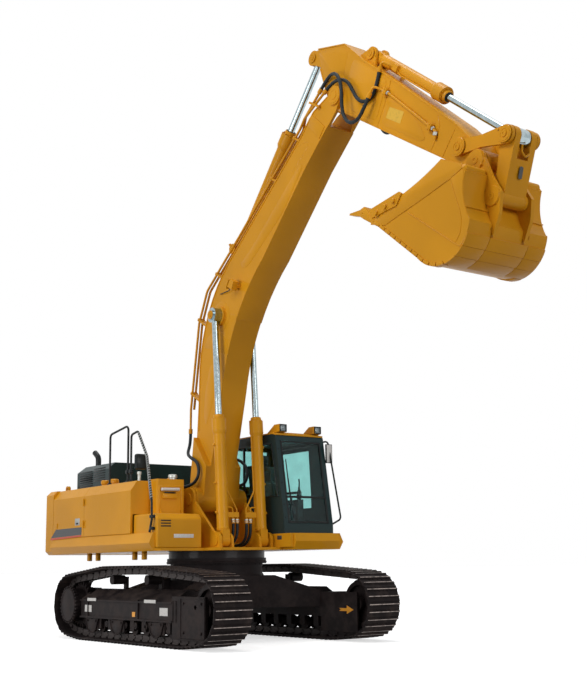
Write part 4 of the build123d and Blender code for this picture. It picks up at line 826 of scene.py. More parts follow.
class EXCAVATOR_OT_tracks(bpy.types.Operator):
    """Lay both tracks: ribbed shoes, links with their pins, and shoe bolts"""

    bl_idname = "excavator.tracks"
    bl_label = "Tracks"

    def execute(self, context):
        joints = track_joints(context.scene.excavator_fittings.shoe_count)
        pitch = (joints[1] - joints[0]).length
        spots = []
        for start, end in zip(joints, joints[1:] + joints[:1]):
            spots.append(machine.matrix(start.x, start.y, 0.0, atan2(end.y - start.y, end.x - start.x)))
        for side, word in ((-1, "right"), (1, "left")):
            across = Matrix.Translation((0.0, side * gauge / 2, 0.0))
            places = [across @ spot for spot in spots]
            shoes = copies(self.shoe(pitch), places, f"track_shoes_{word}")
            dress(shoes, "undercarriage", None, f"track_{word}")
            dress(copies(self.links(pitch), places, f"track_links_{word}"), "undercarriage", "link_steel")
        return {"FINISHED"}

    def shoe(self, pitch):
        """One shoe from its hinge along X, with the outside down Z, as it lies on the ground."""
        half = shoe_width / 2
        lip = 0.020
        outline = [(-lip, 0.012), (-lip + 0.006, 0.002), (0.014, 0.0)]
        for share in (0.25, 0.75):
            middle = share * pitch
            outline += [
                (middle - 0.020, 0.0), (middle - 0.006, -rib_height), (middle + 0.006, -rib_height),
                (middle + 0.020, 0.0)
            ]
        outline += [
            (pitch - 0.008, 0.0), (pitch - 0.004, shoe_plate), (0.010, shoe_plate), (-0.006, shoe_plate + 0.006)
        ]
        body = plate("shoe", outline, -half, half)
        for vertex in body.data.vertices:
            if vertex.co.z < -0.5 * rib_height:
                vertex.co.y *= 1.0 - 0.012 / half
        worn(body, "track_steel", "worn_edge", lambda face: face.center.z < -0.95 * rib_height)
        heads = []
        for x in (0.5 * pitch - 0.034, 0.5 * pitch + 0.034):
            for y in (-0.118, -0.044, 0.044, 0.118):
                heads.append(aim((x if abs(y) > 0.1 else x, y, 0.0), (0.0, 0.0, -1.0)))
        nuts = copies(turned("nut", [(0.0, 0.013), (0.010, 0.012)], 6), heads, "nuts")
        nuts.data.materials.append(finishes["track_steel"])
        return joined([body, nuts], "shoe")

    def links(self, pitch):
        """The two links of a shoe and the pin at its hinge."""
        low, high = shoe_plate, shoe_plate + link_height
        outline = [
            (0.018, low), (pitch - 0.052, low), (pitch - 0.045, low + 0.022), (pitch - 0.010, low + 0.020),
            (pitch + 0.030, low + 0.034), (pitch + 0.036, low + 0.060), (pitch + 0.020, high - 0.010),
            (pitch - 0.006, high),
            (0.040, high), (0.030, high - 0.008), (-0.020, high - 0.012), (-0.034, high - 0.036),
            (-0.028, low + 0.022), (0.006, low + 0.018),
        ]
        parts = []
        for side in (-1, 1):
            near, far = sorted((side * 0.060, side * 0.100))
            parts += [
                plate("link", outline, near, far),
                between("boss", (0.0, side * 0.098, low + 0.050), (0.0, side * 0.108, low + 0.050), 0.026, 12)
            ]
        parts.append(between("bush", (0.0, -0.058, low + 0.050), (0.0, 0.058, low + 0.050), 0.030, 12))
        return joined(parts, "links")
# ---------------------------------------------------------------- hoses
def beyond(before, end, length):
    """The point that lies at length past end, on the line that comes from before."""
    return end + (end - before).normalized() * length


def cord_line(name, points):
    """A smooth line drawn to its route's points, and the points that a tube along it follows."""
    curve = bpy.data.curves.new(name, "CURVE")
    curve.dimensions = "3D"
    curve.resolution_u = 6
    spline = curve.splines.new("NURBS")
    spline.points.add(len(points) - 1)
    for point, place in zip(spline.points, points):
        point.co = (*place, 1.0)
    spline.order_u = 3
    spline.use_endpoint_u = True
    line = bpy.data.objects.new(name, curve)
    bpy.context.scene.collection.objects.link(line)
    sampled = bpy.data.meshes.new_from_object(line)
    path = [vertex.co.copy() for vertex in sampled.vertices]
    bpy.data.meshes.remove(sampled)
    bpy.data.objects.remove(line)
    return path


def hose_piece(name, points, radius):
    """A rubber hose between fittings, as a fixed mesh that follows a smooth line through the points."""
    path = cord_line(name, points)
    curve = bpy.data.curves.new(name, "CURVE")
    curve.dimensions = "3D"
    curve.bevel_depth = radius
    curve.bevel_resolution = 4
    curve.use_fill_caps = True
    spline = curve.splines.new("POLY")
    spline.points.add(len(path) - 1)
    for point, place in zip(spline.points, path):
        point.co = (*place, 1.0)
    piece = bpy.data.objects.new(name, curve)
    bpy.context.scene.collection.objects.link(piece)
    clear()
    piece.select_set(True)
    bpy.context.view_layer.objects.active = piece
    bpy.ops.object.convert(target="MESH")
    piece = settle(bpy.context.object)
    piece.data.materials.append(finishes["hose_rubber"])
    piece.select_set(True)
    bpy.ops.object.shade_smooth()
    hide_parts(name.replace("rubber_", ""))
    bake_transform(piece)
    return piece


def mirrored(points):
    return [Vector((place.x, -place.y, place.z)) for place in points]


class EXCAVATOR_OT_arm_hoses(Step, bpy.types.Operator):
    """Two hoses on each side that loop over the foot of the arm."""

    bl_idname = "excavator.arm_hoses"
    bl_label = "Arm hoses"

    def make(self, context):
        reach = boom_length
        ferrule = 0.075
        before, start = boom_frame(reach - 0.440, 0.563, -0.214), boom_frame(reach + 0.012, 0.400, -0.214)
        bend, elbow = arm_frame(0.820, 0.320, -0.276), arm_frame(0.829, 0.230, -0.288)
        end = beyond(bend, elbow, ferrule)
        way = [
            (-0.265, 0.243, -0.235), (-0.075, 0.290, -0.298), (0.120, 0.238, -0.328), (0.268, 0.085, -0.335),
            (0.372, -0.082, -0.335), (0.498, -0.200, -0.332), (0.668, -0.250, -0.328), (0.812, -0.165, -0.322),
        ]
        lower = [start, beyond(before, start, 0.122)] + [arm_frame(*place) for place in way]
        lower += [beyond(elbow, end, 0.162), end]
        before, start = boom_frame(reach - 0.460, 0.520, -0.252), boom_frame(reach + 0.032, 0.215, -0.252)
        bend, elbow = arm_frame(0.735, 0.660, -0.212), arm_frame(0.750, 0.592, -0.212)
        end = beyond(bend, elbow, ferrule)
        way = [
            (0.010, 0.238, -0.251), (0.215, 0.250, -0.254), (0.395, 0.155, -0.250), (0.565, 0.070, -0.240),
            (0.715, 0.088, -0.225), (0.818, 0.205, -0.214),
        ]
        upper = [start, beyond(before, start, 0.130)] + [arm_frame(*place) for place in way]
        upper += [beyond(elbow, end, 0.155), end]
        turn_start, turn_end = arm_frame(-0.30, 0.10), arm_frame(0.70, 0.10)
        for name, route in (("lower", lower), ("upper", upper)):
            for side, points in (("right", route), ("left", mirrored(route))):
                hose_piece(f"rubber_hose_arm_{name}_{side}", points, 0.025)


class EXCAVATOR_OT_foot_hoses(Step, bpy.types.Operator):
    """The hoses that loop from the boom's pipes to the bulkhead, one on each side of its foot."""

    bl_idname = "excavator.foot_hoses"
    bl_label = "Boom foot hoses"

    def make(self, context):
        low = boom_frame(0.674, 0.953)
        right_way = [
            (-0.400, -0.300, -0.338), (-0.200, -0.358, -0.420), (0.020, -0.367, -0.500), (0.092, -0.372, -0.680),
            (-0.010, -0.392, -0.830), (-0.195, -0.425, -0.876),
        ]
        left_way = [
            (-0.402, 0.312, -0.340), (-0.195, 0.368, -0.398), (0.100, 0.372, -0.448), (0.285, 0.376, -0.565),
            (0.312, 0.382, -0.708), (0.215, 0.393, -0.828), (0.060, 0.410, -0.854), (-0.150, 0.440, -0.862),
        ]
        for side, mark, way in (("right", -1, right_way), ("left", 1, left_way)):
            start = boom_frame(0.674, 0.953, mark * 0.190)
            first = beyond(boom_frame(1.010, 1.160, mark * 0.190), start, 0.165)
            union = Vector((slew.x - 0.645, mark * 0.455, 2.320))
            route = [start, first] + [Vector((slew.x + x, y, low.z + drop)) for x, y, drop in way]
            route += [union + Vector((0.212, 0.0, 0.0)), union]
            hose_piece(
                f"rubber_hose_foot_{side}", route, 0.025,
            )


class EXCAVATOR_OT_cylinder_hoses(Step, bpy.types.Operator):
    """Four short hoses that hang between the feet of the boom cylinders."""

    bl_idname = "excavator.cylinder_hoses"
    bl_label = "Boom cylinder hoses"

    def make(self, context):
        level = 1.375 + 0.034
        for name, spot, reach in (("inner", 0.084, 0.0), ("outer", 0.157, 0.012)):
            top = boom_cylinder_frame(0.255, 0.0, -spot)
            first = beyond(boom_cylinder_frame(0.330, 0.0, -spot), top, 0.130)
            route = [
                top, first, Vector((first.x - 0.056 - reach, -spot - 0.004, level + 0.080)),
                Vector((slew.x + 0.538, -spot, level)), Vector((slew.x + 0.400, -spot, level)),
            ]
            for side, points in (("right", route), ("left", mirrored(route))):
                hose_piece(
                    f"rubber_hose_cylinder_{name}_{side}", points, 0.022,
                )
# ---------------------------------------------------------------- sheet and weld shapes
def arc_through(start, middle, end, count=10):
    """Points of the circle through three points, from start to end."""
    a, b, c = Vector(start), Vector(middle), Vector(end)
    cross = (b - a).cross(c - a)
    d = 2.0 * (cross if isinstance(cross, float) else cross.z)
    a2, b2, c2 = a.length_squared, b.length_squared, c.length_squared
    x = (a2 * (b.y - c.y) + b2 * (c.y - a.y) + c2 * (a.y - b.y)) / d
    y = (a2 * (c.x - b.x) + b2 * (a.x - c.x) + c2 * (b.x - a.x)) / d
    centre = Vector((x, y))
    radius = (a - centre).length
    turns = [atan2(p.y - y, p.x - x) for p in (a, b, c)]
    sweep = (turns[2] - turns[0]) % (2 * pi)
    if (turns[1] - turns[0]) % (2 * pi) > sweep:
        sweep -= 2 * pi
    return [
        (x + radius * cos(turns[0] + sweep * i / count), y + radius * sin(turns[0] + sweep * i / count))
        for i in range(count + 1)
    ]


def offset_line(points, gap):
    """The points of an open line moved sideways, to the left of its direction."""
    line = [Vector(p) for p in points]
    moved = []
    for i, place in enumerate(line):
        ways = []
        if i > 0:
            ways.append((place - line[i - 1]).normalized())
        if i < len(line) - 1:
            ways.append((line[i + 1] - place).normalized())
        normals = [Vector((-way.y, way.x)) for way in ways]
        middle = sum(normals, Vector((0.0, 0.0))).normalized()
        moved.append(tuple(place + middle * gap / max(0.4, middle.dot(normals[0]))))
    return moved


def ribbon(points, left, right):
    """The outline of a strip along an open line, from left of it to right of it."""
    return offset_line(points, left) + offset_line(points, -right)[::-1]


def strip(name, side_frame, points, left, right, low, high, bevel=0.003):
    """A flat strip that follows a line of the side view, from low to high across the machine."""
    return plate(name, ribbon(points, left, right), low, high, side_frame.matrix(), bevel)


def both_sides(build):
    """What build makes for the right side (-1) and for the left side (1)."""
    return [build(-1.0), build(1.0)]


def span(side, inner, outer):
    """A stretch across the machine, on one side of it, low end first."""
    return tuple(sorted((side * inner, side * outer)))


def cap(name, side_frame, along, up, face, side, rings, sides=32):
    """A turned cap on a side face. rings are pairs of height above the face and radius."""
    matrix = side_frame.matrix(along, up, side * face) @ Matrix.Rotation(-side * pi / 2, 4, "X")
    return turned(name, rings, sides, matrix)


def panel(name, side_frame, outline, face, side, height, bevel=0.006):
    """A raised or sunk sheet on a side face, with a soft edge."""
    low, high = span(side, face - 0.010, face + height)
    return plate(name, outline, low, high, side_frame.matrix(), bevel)


def rounded(points, radius, steps=4):
    """A closed outline with its corners rounded."""
    outline = []
    count = len(points)
    for i, place in enumerate(points):
        before, here, after = Vector(points[i - 1]), Vector(place), Vector(points[(i + 1) % count])
        reach = min(radius, (before - here).length * 0.45, (after - here).length * 0.45)
        first = here + (before - here).normalized() * reach
        last = here + (after - here).normalized() * reach
        for step in range(steps + 1):
            t = step / steps
            outline.append(tuple((1 - t) ** 2 * first + 2 * t * (1 - t) * here + t ** 2 * last))
    return outline


# ---------------------------------------------------------------- boom and arm
boom_side = 0.230
boom_crown = (2.680, 1.086)
arm_side = 0.180


class EXCAVATOR_OT_boom(Step, bpy.types.Operator):
    """Flanges, pressed panels, weld seams, bosses and caps of the boom."""

    bl_idname = "excavator.boom"
    bl_label = "Boom"

    def make(self, context):
        reach = boom_length
        crown = arc_through((1.528, 1.100), (2.550, 1.451), (3.700, 1.262))
        top = [(0.85, 0.700)] + crown + [(reach - 0.735, 0.502), (reach - 0.430, 0.425)]
        belly = arc_through((1.711, 0.432), (2.720, 0.641), (3.900, 0.462))
        bottom = belly[5:] + [(reach - 1.080, 0.135), (reach - 0.430, -0.058)]
        sheets = [
            strip("top_flange", boom_frame, top, 0.004, 0.018, -boom_side - 0.010, boom_side + 0.010),
            strip("bottom_flange", boom_frame, bottom, 0.016, 0.004, -boom_side - 0.010, boom_side + 0.010),
        ]
        fork_top = [(reach - 0.440, 0.424), (reach - 0.330, 0.392), (reach - 0.060, 0.182)]
        for side in (-1.0, 1.0):
            low, high = span(side, 0.186, boom_side + 0.008)
            sheets.append(strip("fork_flange", boom_frame, fork_top, 0.004, 0.014, low, high))
        dress(joined(sheets, "boom_flanges"), "boom", "yellow_enamel")

        def panels(side):
            made = []
            upper = [
                (3.56, 0.86), (3.58, 1.02), (3.93, 0.84), (5.05, 0.44), (5.42, 0.30), (5.40, 0.22),
                (4.68, 0.33), (3.72, 0.75)
            ]
            made.append(panel("upper_panel", boom_frame, rounded(upper, 0.14), boom_side, side, 0.003, 0.0015))
            lower = [(1.02, 0.52), (1.10, 0.66), (1.42, 0.84), (1.88, 0.95), (1.96, 0.86), (1.90, 0.74), (1.45, 0.56)]
            made.append(panel("lower_panel", boom_frame, rounded(lower, 0.12), boom_side, side, 0.002, 0.001))
            ring = ring_of(boom_crown, 0.245, 40)
            made.append(panel("boss_plate", boom_frame, ring, boom_side, side, 0.002, 0.001))
            half = [(2.066, 1.262), (2.105, 1.285)] + arc_through(
                (2.13, 1.29), (2.455, 1.00), (2.262, 0.61), 14
            ) + [(2.235, 0.606)]
            made.append(panel("gusset", boom_frame, half, boom_side, side, 0.001, 0.0004))
            fork = [(5.862, 0.040), (5.955, 0.418), (6.126, 0.402), (6.049, 0.010)]
            made += [
                panel("fork_plate", boom_frame, fork, boom_side, side, 0.010, 0.004),
                cap(
                    "rod_flange", boom_frame, *boom_crown, boom_side, side,
                    [(0.0, 0.160), (0.014, 0.156), (0.020, 0.140)]
                )
            ]
            tip = [
                (0.026, 0.118), (0.034, 0.112), (0.034, 0.078), (0.030, 0.074), (0.030, 0.062), (0.038, 0.058),
                (0.038, 0.030)
            ]
            made.append(cap("fork_cap", boom_frame, reach, 0.0, boom_side, side, tip))
            return joined(made, "panels")

        dress(joined(both_sides(panels), "boom_panels"), "boom", "yellow_enamel")

        def seams(side):
            made = []
            lines = [
                [(3.252, 1.330), (3.340, 0.980), (3.433, 0.600)],
                [(2.066, 1.270), (2.150, 0.950), (2.244, 0.575)],
                [(5.595, 0.525), (5.739, 0.332), (5.740, 0.262), (5.690, 0.250), (5.200, 0.460)],
                [(0.800, 0.640), (0.700, 0.300), (0.620, 0.090)],
            ]
            for line in lines:
                sunk = 0.005 if line[0][0] == 2.066 else 0.003
                points = [boom_frame(x, y, side * (boom_side - sunk)) for x, y in line]
                made.append(pipe("seam", points, 0.006, 0.05, 1))
            return joined(made, "seams")

        dress(joined(both_sides(seams), "boom_seams"), "boom", "yellow_enamel")
        lugs = []
        for x, y in ((1.25, 1.262), (2.36, 1.722), (3.20, 1.628), (5.00, 0.952), (5.70, 0.702)):
            for side in (-1.0, 1.0):
                for spot in (0.130, 0.190):
                    matrix = boom_frame.matrix(x, y - 0.006, side * spot)
                    lugs.append(matrix)
        saddle = block("saddle", (-0.024, -0.030, -0.020), (0.024, 0.030, 0.026), 0.006, 1)
        head = hex_bolt(0.020)
        head.data.transform(Matrix.Translation((0.0, 0.0, 0.026)))
        dress(copies(joined([saddle, head], "saddle"), lugs, "pipe_saddles"), "boom", "yellow_enamel")


class EXCAVATOR_OT_work_lamp(Step, bpy.types.Operator):
    """The lamp on the right side of the boom, with its lens and lead."""

    bl_idname = "excavator.work_lamp"
    bl_label = "Work lamp"

    def make(self, context):
        x, y = 3.281, 0.878
        housing = plate(
            "lamp_housing", rounded(
                [(x - 0.060, y - 0.068), (x + 0.066, y - 0.054), (x + 0.066, y + 0.054), (x - 0.060, y + 0.068)],
                0.02
            ),
            -boom_side - 0.148, -boom_side - 0.056, boom_frame.matrix(), 0.008,
        )
        hood = plate(
            "lamp_hood", ribbon([(x - 0.10, y + 0.080), (x + 0.020, y + 0.082), (x + 0.060, y + 0.075)], 0.004, 0.004),
            -boom_side - 0.160, -boom_side - 0.030, boom_frame.matrix(), 0.002,
        )
        dress(joined([housing, hood], "lamp_housing"), "boom", "yellow_enamel")
        lens = block("lens", (-0.010, -0.040, -0.058), (0.0, 0.040, 0.058), 0.004)
        lens.data.transform(boom_frame.matrix(x - 0.059, y, -boom_side - 0.102))
        dress(lens, "boom", "lamp_lens")
        lead = [
            boom_frame(3.30, 0.93, -0.250), boom_frame(3.20, 1.00, -0.262), boom_frame(3.12, 1.06, -0.258),
            boom_frame(3.05, 1.17, -0.250), boom_frame(2.98, 1.28, -0.240),
        ]
        dress(pipe("lamp_lead", lead, 0.007, 0.05, 1), "boom", "hose_rubber", smooth=60.0)


class EXCAVATOR_OT_arm(Step, bpy.types.Operator):
    """Flanges, seams, bosses and the blank plate of the arm."""

    bl_idname = "excavator.arm"
    bl_label = "Arm"

    def make(self, context):
        reach = arm_length
        top = [
            (reach - 0.240, 0.160), (reach - 0.295, 0.200), (reach - 0.705, 0.300), (0.850, 0.530), (0.300, 0.590),
            (-0.260, 0.700), (-0.850, 0.500),
        ]
        bottom = [
            (-0.640, 0.246), (-0.400, 0.060), (-0.110, -0.150), (0.330, -0.165), (reach - 0.675, -0.150),
            (reach - 0.160, -0.142)
        ]
        wide = arm_side + 0.010
        sheets = [
            strip("top_flange", arm_frame, top, 0.016, 0.004, -wide, wide),
            strip("bottom_flange", arm_frame, bottom, 0.014, 0.004, -wide, wide),
        ]
        dress(joined(sheets, "arm_flanges"), "arm", "yellow_enamel")

        def panels(side):
            made = []
            rear = [
                (-0.815, 0.455), (-0.300, 0.650), (-0.120, 0.622), (-0.010, 0.120), (-0.090, -0.100),
                (-0.385, 0.090), (-0.610, 0.265)
            ]
            made.append(panel("rear_panel", arm_frame, rounded(rear, 0.06), arm_side, side, 0.002, 0.001))
            middle = [
                (0.400, -0.100), (1.020, -0.092), (0.955, 0.440), (0.850, 0.490), (0.330, 0.545),
                (0.060, 0.570), (0.110, 0.100)
            ]
            made.append(panel("middle_panel", arm_frame, rounded(middle, 0.10), arm_side, side, 0.004, 0.002))
            front = [(1.130, -0.092), (2.000, -0.092), (2.120, -0.040), (1.990, 0.060), (1.673, 0.200), (1.100, 0.290)]
            made += [
                panel("front_panel", arm_frame, rounded(front, 0.12), arm_side, side, 0.004, 0.002),
                cap("hub_ring", arm_frame, 0.0, 0.0, arm_side, side, [(0.0, 0.150), (0.004, 0.146)]),
                cap("rocker_hub", arm_frame, reach - 0.423, 0.053, arm_side, side, [(0.0, 0.105), (0.008, 0.098)])
            ]
            return joined(made, "panels")

        dress(joined(both_sides(panels), "arm_panels"), "arm", "yellow_enamel")

        def seams(side):
            face = side * (arm_side + 0.001)
            lines = [
                [(2.165, 0.310), (2.240, 0.250), (2.290, 0.180), (2.300, 0.0), (2.290, -0.135)],
                [(2.575, 0.230), (2.560, 0.080), (2.539, -0.135)],
                [(1.030, 0.480), (1.070, 0.200), (1.085, -0.140)],
            ]
            made = [pipe("seam", [arm_frame(x, y, face) for x, y in line], 0.005, 0.05, 1) for line in lines]
            return joined(made, "seams")

        dress(joined(both_sides(seams), "arm_seams"), "arm", "yellow_enamel")

        label = plate(
            "label", [(1.203, 0.006), (1.530, 0.014), (1.524, 0.175), (1.205, 0.157)],
            -arm_side - 0.0065, -arm_side - 0.0045, arm_frame.matrix(),
        )
        dress(label, "arm", "blank_yellow_plate")

        fittings = []
        for side in (-1.0, 1.0):
            for x, y in ((1.000, 0.318), (1.085, 0.312), (2.132, 0.138), (2.205, 0.128)):
                start = arm_frame(x - 0.018, y + 0.003, side * 0.203)
                fittings.append(between("nut", start, arm_frame(x + 0.018, y - 0.003, side * 0.203), 0.031, 6, 0.004))
            fittings.append(between(
                "union", arm_frame(2.275, 0.105, side * 0.203), arm_frame(2.290, 0.060, side * 0.203), 0.030, 6, 0.004,
            ))
        dress(joined(fittings, "arm_pipe_nuts"), "arm", "zinc_fitting")

        clips = []
        for side in (-1.0, 1.0):
            for x, y in ((1.040, 0.316), (reach - 1.080, 0.134)):
                low, high = span(side, arm_side - 0.004, arm_side + 0.062)
                body = plate(
                    "clip", rounded(
                        [
                            (x - 0.038, y - 0.046), (x + 0.038, y - 0.046), (x + 0.038, y + 0.046),
                            (x - 0.038, y + 0.046)
                        ],
                        0.012
                    ),
                    low, high, arm_frame.matrix(), 0.005,
                )
                clips.append(body)
                clips.append(bolts(
                    "clip_bolts", [
                        arm_frame(x, y + 0.030, side * (arm_side + 0.060)),
                        arm_frame(x, y - 0.030, side * (arm_side + 0.060))
                    ],
                    (0.0, side, 0.0), 0.022,
                ))
        dress(joined(clips, "arm_pipe_clips"), "arm", "yellow_enamel")
# ---------------------------------------------------------------- house
def house(x, y, z):
    """A place counted from the slew axis."""
    return Vector((slew.x + x, y, z))


def softened(node, width=0.006, sharp=28.0, least=4.0, segments=2):
    """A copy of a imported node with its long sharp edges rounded, in its place."""
    source = frame["nodes"][node]
    piece = bpy.data.objects.new("soft_" + node, source.data.copy())
    bpy.context.scene.collection.objects.link(piece)
    edit(piece)
    bpy.ops.mesh.select_mode(type="EDGE")
    bpy.ops.mesh.customdata_custom_splitnormals_clear()
    bpy.ops.mesh.remove_doubles(threshold=0.0001)
    bpy.ops.mesh.dissolve_limited(angle_limit=radians(1.0))
    bpy.ops.mesh.select_all(action="DESELECT")
    bpy.ops.mesh.edges_select_sharp(sharpness=radians(sharp))
    bpy.ops.object.mode_set(mode="OBJECT")
    spots = piece.data.vertices
    long_ones = [
        edge for edge in piece.data.edges
        if edge.select and (spots[edge.vertices[0]].co - spots[edge.vertices[1]].co).length > least * width
    ]
    for part in (*piece.data.edges, *spots, *piece.data.polygons):
        part.select = False
    for edge in long_ones:
        edge.select = True
        for index in edge.vertices:
            spots[index].select = True
    bpy.ops.object.mode_set(mode="EDIT")
    bpy.ops.mesh.bevel(offset=width, segments=segments, affect="EDGES", clamp_overlap=True)
    bpy.ops.mesh.select_mode(type="VERT")
    settle(piece)
    dress(piece, source["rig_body"], None, node, smooth=50.0)
    level_shading(piece)
    return piece


def level_shading(piece):
    """Keeps wide faces evenly shaded between their rounded edges."""
    clear()
    piece.select_set(True)
    bpy.context.view_layer.objects.active = piece
    bpy.ops.object.modifier_add(type="WEIGHTED_NORMAL")
    piece.modifiers[-1].keep_sharp = True
    bpy.ops.object.modifier_apply(modifier=piece.modifiers[-1].name)
    clear()


def box_at(name, low, high, bevel=0.004):
    """A block between two corners counted from the slew axis."""
    return block(name, house(*low), house(*high), bevel)


def side_sheet(name, outline, y, thickness=0.0015):
    """A thin sheet on the right side of the house."""
    points = [(slew.x + x, z) for x, z in outline]
    return plate(name, points, y - thickness, y)


class EXCAVATOR_OT_house_shells(Step, bpy.types.Operator):
    """The house's panels and the cab with rounded edges."""

    bl_idname = "excavator.house_shells"
    bl_label = "House shells"

    def make(self, context):
        for node in ("pump_door", "radiator_door", "right_cover", "left_cover", "counterweight"):
            softened(node, 0.030)
        for node in ("tool_box", "fuel_tank"):
            softened(node, 0.022)
        for node in ("engine_hood", "cab_shell", "cab_door", "main_frame", "cab_lamps"):
            softened(node, 0.007)


class EXCAVATOR_OT_house_fittings(Step, bpy.types.Operator):
    """Latch, blank stripe, step, caps and brackets of the house, and painted shade in its vents, louvres and toe slot.
    """

    bl_idname = "excavator.house_fittings"
    bl_label = "House fittings"

    def make(self, context):
        face = -1.450
        door = frame["nodes"]["pump_door"]["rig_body"]
        pad = box_at("pad", (-2.040, face - 0.004, 1.790), (-1.865, face + 0.010, 1.902), 0.003)
        dress(pad, door, "pale_plastic")
        grip = box_at("grip", (-1.990, face - 0.012, 1.805), (-1.915, face, 1.832), 0.003)
        dress(grip, door, "black_enamel")
        band = [(-2.775, 1.748), (-1.790, 1.757), (-1.796, 1.634), (-2.972, 1.610), (-2.900, 1.655)]
        dress(side_sheet("dark_band", band, face), door, "stripe_dark")
        line = [(-2.975, 1.606), (-1.797, 1.630), (-1.798, 1.607), (-2.982, 1.576)]
        dress(side_sheet("red_band", line, face), door, "stripe_red")

        yellow = []
        tank = 0.100
        yellow.append(box_at("upper_frame", (tank - 0.01, -1.095, 2.292), (tank + 0.012, -0.690, 2.322), 0.008))
        for y in (-1.095, -0.715):
            yellow.append(box_at("post", (tank - 0.01, y, 1.955), (tank + 0.010, y + 0.022, 2.300), 0.008))
        yellow.append(box_at("step_box", (tank - 0.01, -1.040, 2.120), (tank + 0.035, -0.790, 2.200), 0.012))
        for y in (-1.080, -0.720):
            gusset = plate(
                "gusset", [(slew.x + tank, 1.880), (slew.x + tank + 0.075, 1.880), (slew.x + tank, 1.975)], y,
                y + 0.012
            )
            yellow += [
                gusset,
                between(
                    "foot_bolt", house(tank + 0.04, y + 0.040, 1.878), house(tank + 0.04, y + 0.040, 1.902),
                    0.016, 6
                )
            ]
        for x in (-1.989, -1.683, -0.439, -0.140):
            yellow.append(box_at("hanger", (x - 0.040, -1.230, 1.215), (x + 0.040, -1.170, 1.345), 0.010))
        for x, y in ((-1.66, -1.10), (-1.35, -1.10)):
            yellow.append(
                turned(
                    "cap", [(0.0, 0.060), (0.045, 0.060), (0.060, 0.075), (0.105, 0.075), (0.118, 0.062)], 24,
                    Matrix.Translation(house(x, y, 2.395))
                )
            )
        for x in (-0.60, -0.32):
            yellow.append(box_at("lift_lug", (x - 0.035, -0.70, 2.41), (x + 0.035, -0.675, 2.47), 0.010))
        dress(joined(yellow, "house_fittings"), "house", "yellow_enamel")

        roll = between(
            "tread", house(tank + 0.045, -1.075, 2.258), house(tank + 0.045, -0.765, 2.264), 0.024, 16, 0.006
        )
        dress(roll, "house", "blank_plate")
        # The toe slot, the vents and the louvre gaps are dark sheets of painted shade where the openings are.
        dark = [box_at("toe_slot", (tank + 0.02, -1.010, 2.204), (tank + 0.037, -0.820, 2.222), 0.003)]
        for z in (1.762, 1.722, 1.682):
            dark.append(box_at("vent", (0.592, -1.340, z), (0.602, -1.170, z + 0.020), 0.003))
        for i in range(8):
            z = 2.435 + i * 0.040
            dark.append(box_at("louvre", (-2.93, -0.9535, z), (-2.47, -0.9435, z + 0.022), 0.002))
            if i > 1:
                dark.append(box_at("louvre", (-2.40, -0.9535, z + 0.03), (-1.98, -0.9435, z + 0.052), 0.002))
        dress(joined(dark, "painted_shade_slots"), "house", "black_enamel")

        pale = [
            turned(
                "filler", [(0.0, 0.055), (0.030, 0.055), (0.035, 0.070), (0.075, 0.070), (0.085, 0.055)], 24,
                Matrix.Translation(house(0.0, -0.80, 2.415))
            )
        ]
        pale += [
            between("filler_neck", house(-0.70, -1.00, 2.415), house(-0.70, -1.00, 2.560), 0.026, 16),
            between("filler_top", house(-0.70, -1.00, 2.545), house(-0.70, -1.00, 2.590), 0.036, 16)
        ]
        dress(joined(pale, "filler_caps"), "house", "zinc_fitting")
        worn = box_at("worn_pad", (0.598, -1.120, 1.522), (0.603, -0.785, 1.577), 0.001)
        dress(worn, "house", "blank_plate")
        plates = [box_at("plate", (0.926, 0.503, 1.488), (1.042, 0.506, 1.548), 0.001)]
        dress(joined(plates, "dark_plate"), "house", "stripe_dark")


class EXCAVATOR_OT_rails(Step, bpy.types.Operator):
    """Handrails with a wound grip, their clamps, and the right mirror."""

    bl_idname = "excavator.rails"
    bl_label = "Handrails"

    def make(self, context):
        path, steps = [], 8
        runs = (
            (house(-0.190, -1.290, 3.130), house(0.078, -1.290, 2.752), 10),
            (house(0.078, -1.290, 2.752), house(0.500, -1.442, 2.075), 18)
        )
        for start, end, turns in runs:
            way = end - start
            side = way.cross(Vector((0.0, 1.0, 0.0))).normalized()
            other = way.normalized().cross(side)
            for i in range(turns * steps):
                angle = 2 * pi * i / steps
                path.append(start + way * (i / (turns * steps)) + (side * cos(angle) + other * sin(angle)) * 0.019)
        dress(pipe("wound_grip", path, 0.007, 0.004, 1), "house", "pale_plastic", smooth=60.0)
        black = []
        for x, z in ((-0.530, 2.560), (-0.430, 2.560)):
            black.append(box_at("clamp", (x - 0.030, -1.320, z - 0.030), (x + 0.030, -1.262, z + 0.030), 0.008))
        black.append(box_at("clamp", (-0.54, -1.300, 2.552), (-0.42, -1.280, 2.568), 0.002))
        for x, y in ((-1.140, -1.29), (-0.530, -1.29), (-0.430, -1.29)):
            black.append(
                turned(
                    "flange", [(0.0, 0.045), (0.012, 0.045), (0.018, 0.030), (0.030, 0.028)], 16,
                    Matrix.Translation(house(x, y, 2.399))
                )
            )
        for z in (1.83, 1.66):
            black.append(box_at("low_clamp", (0.485, -1.470, z - 0.022), (0.540, -1.400, z + 0.022), 0.006))
        head = box_at("mirror_head", (-0.385, -1.270, 2.590), (-0.290, -1.080, 2.830), 0.030)
        black += [
            head,
            pipe(
                "mirror_arm", [house(-0.43, -1.29, 2.66), house(-0.40, -1.24, 2.68), house(-0.36, -1.18, 2.70)],
                0.012, 0.05, 2
            )
        ]
        dress(joined(black, "rail_fittings"), "house", "black_enamel")


# ---------------------------------------------------------------- cab
cab_right, cab_left = 0.505, 1.440


def screen_x(z):
    """The face of the raked windscreen at a height, from the slew axis."""
    return 1.120 - 0.220 * (z - 1.710) / 1.380


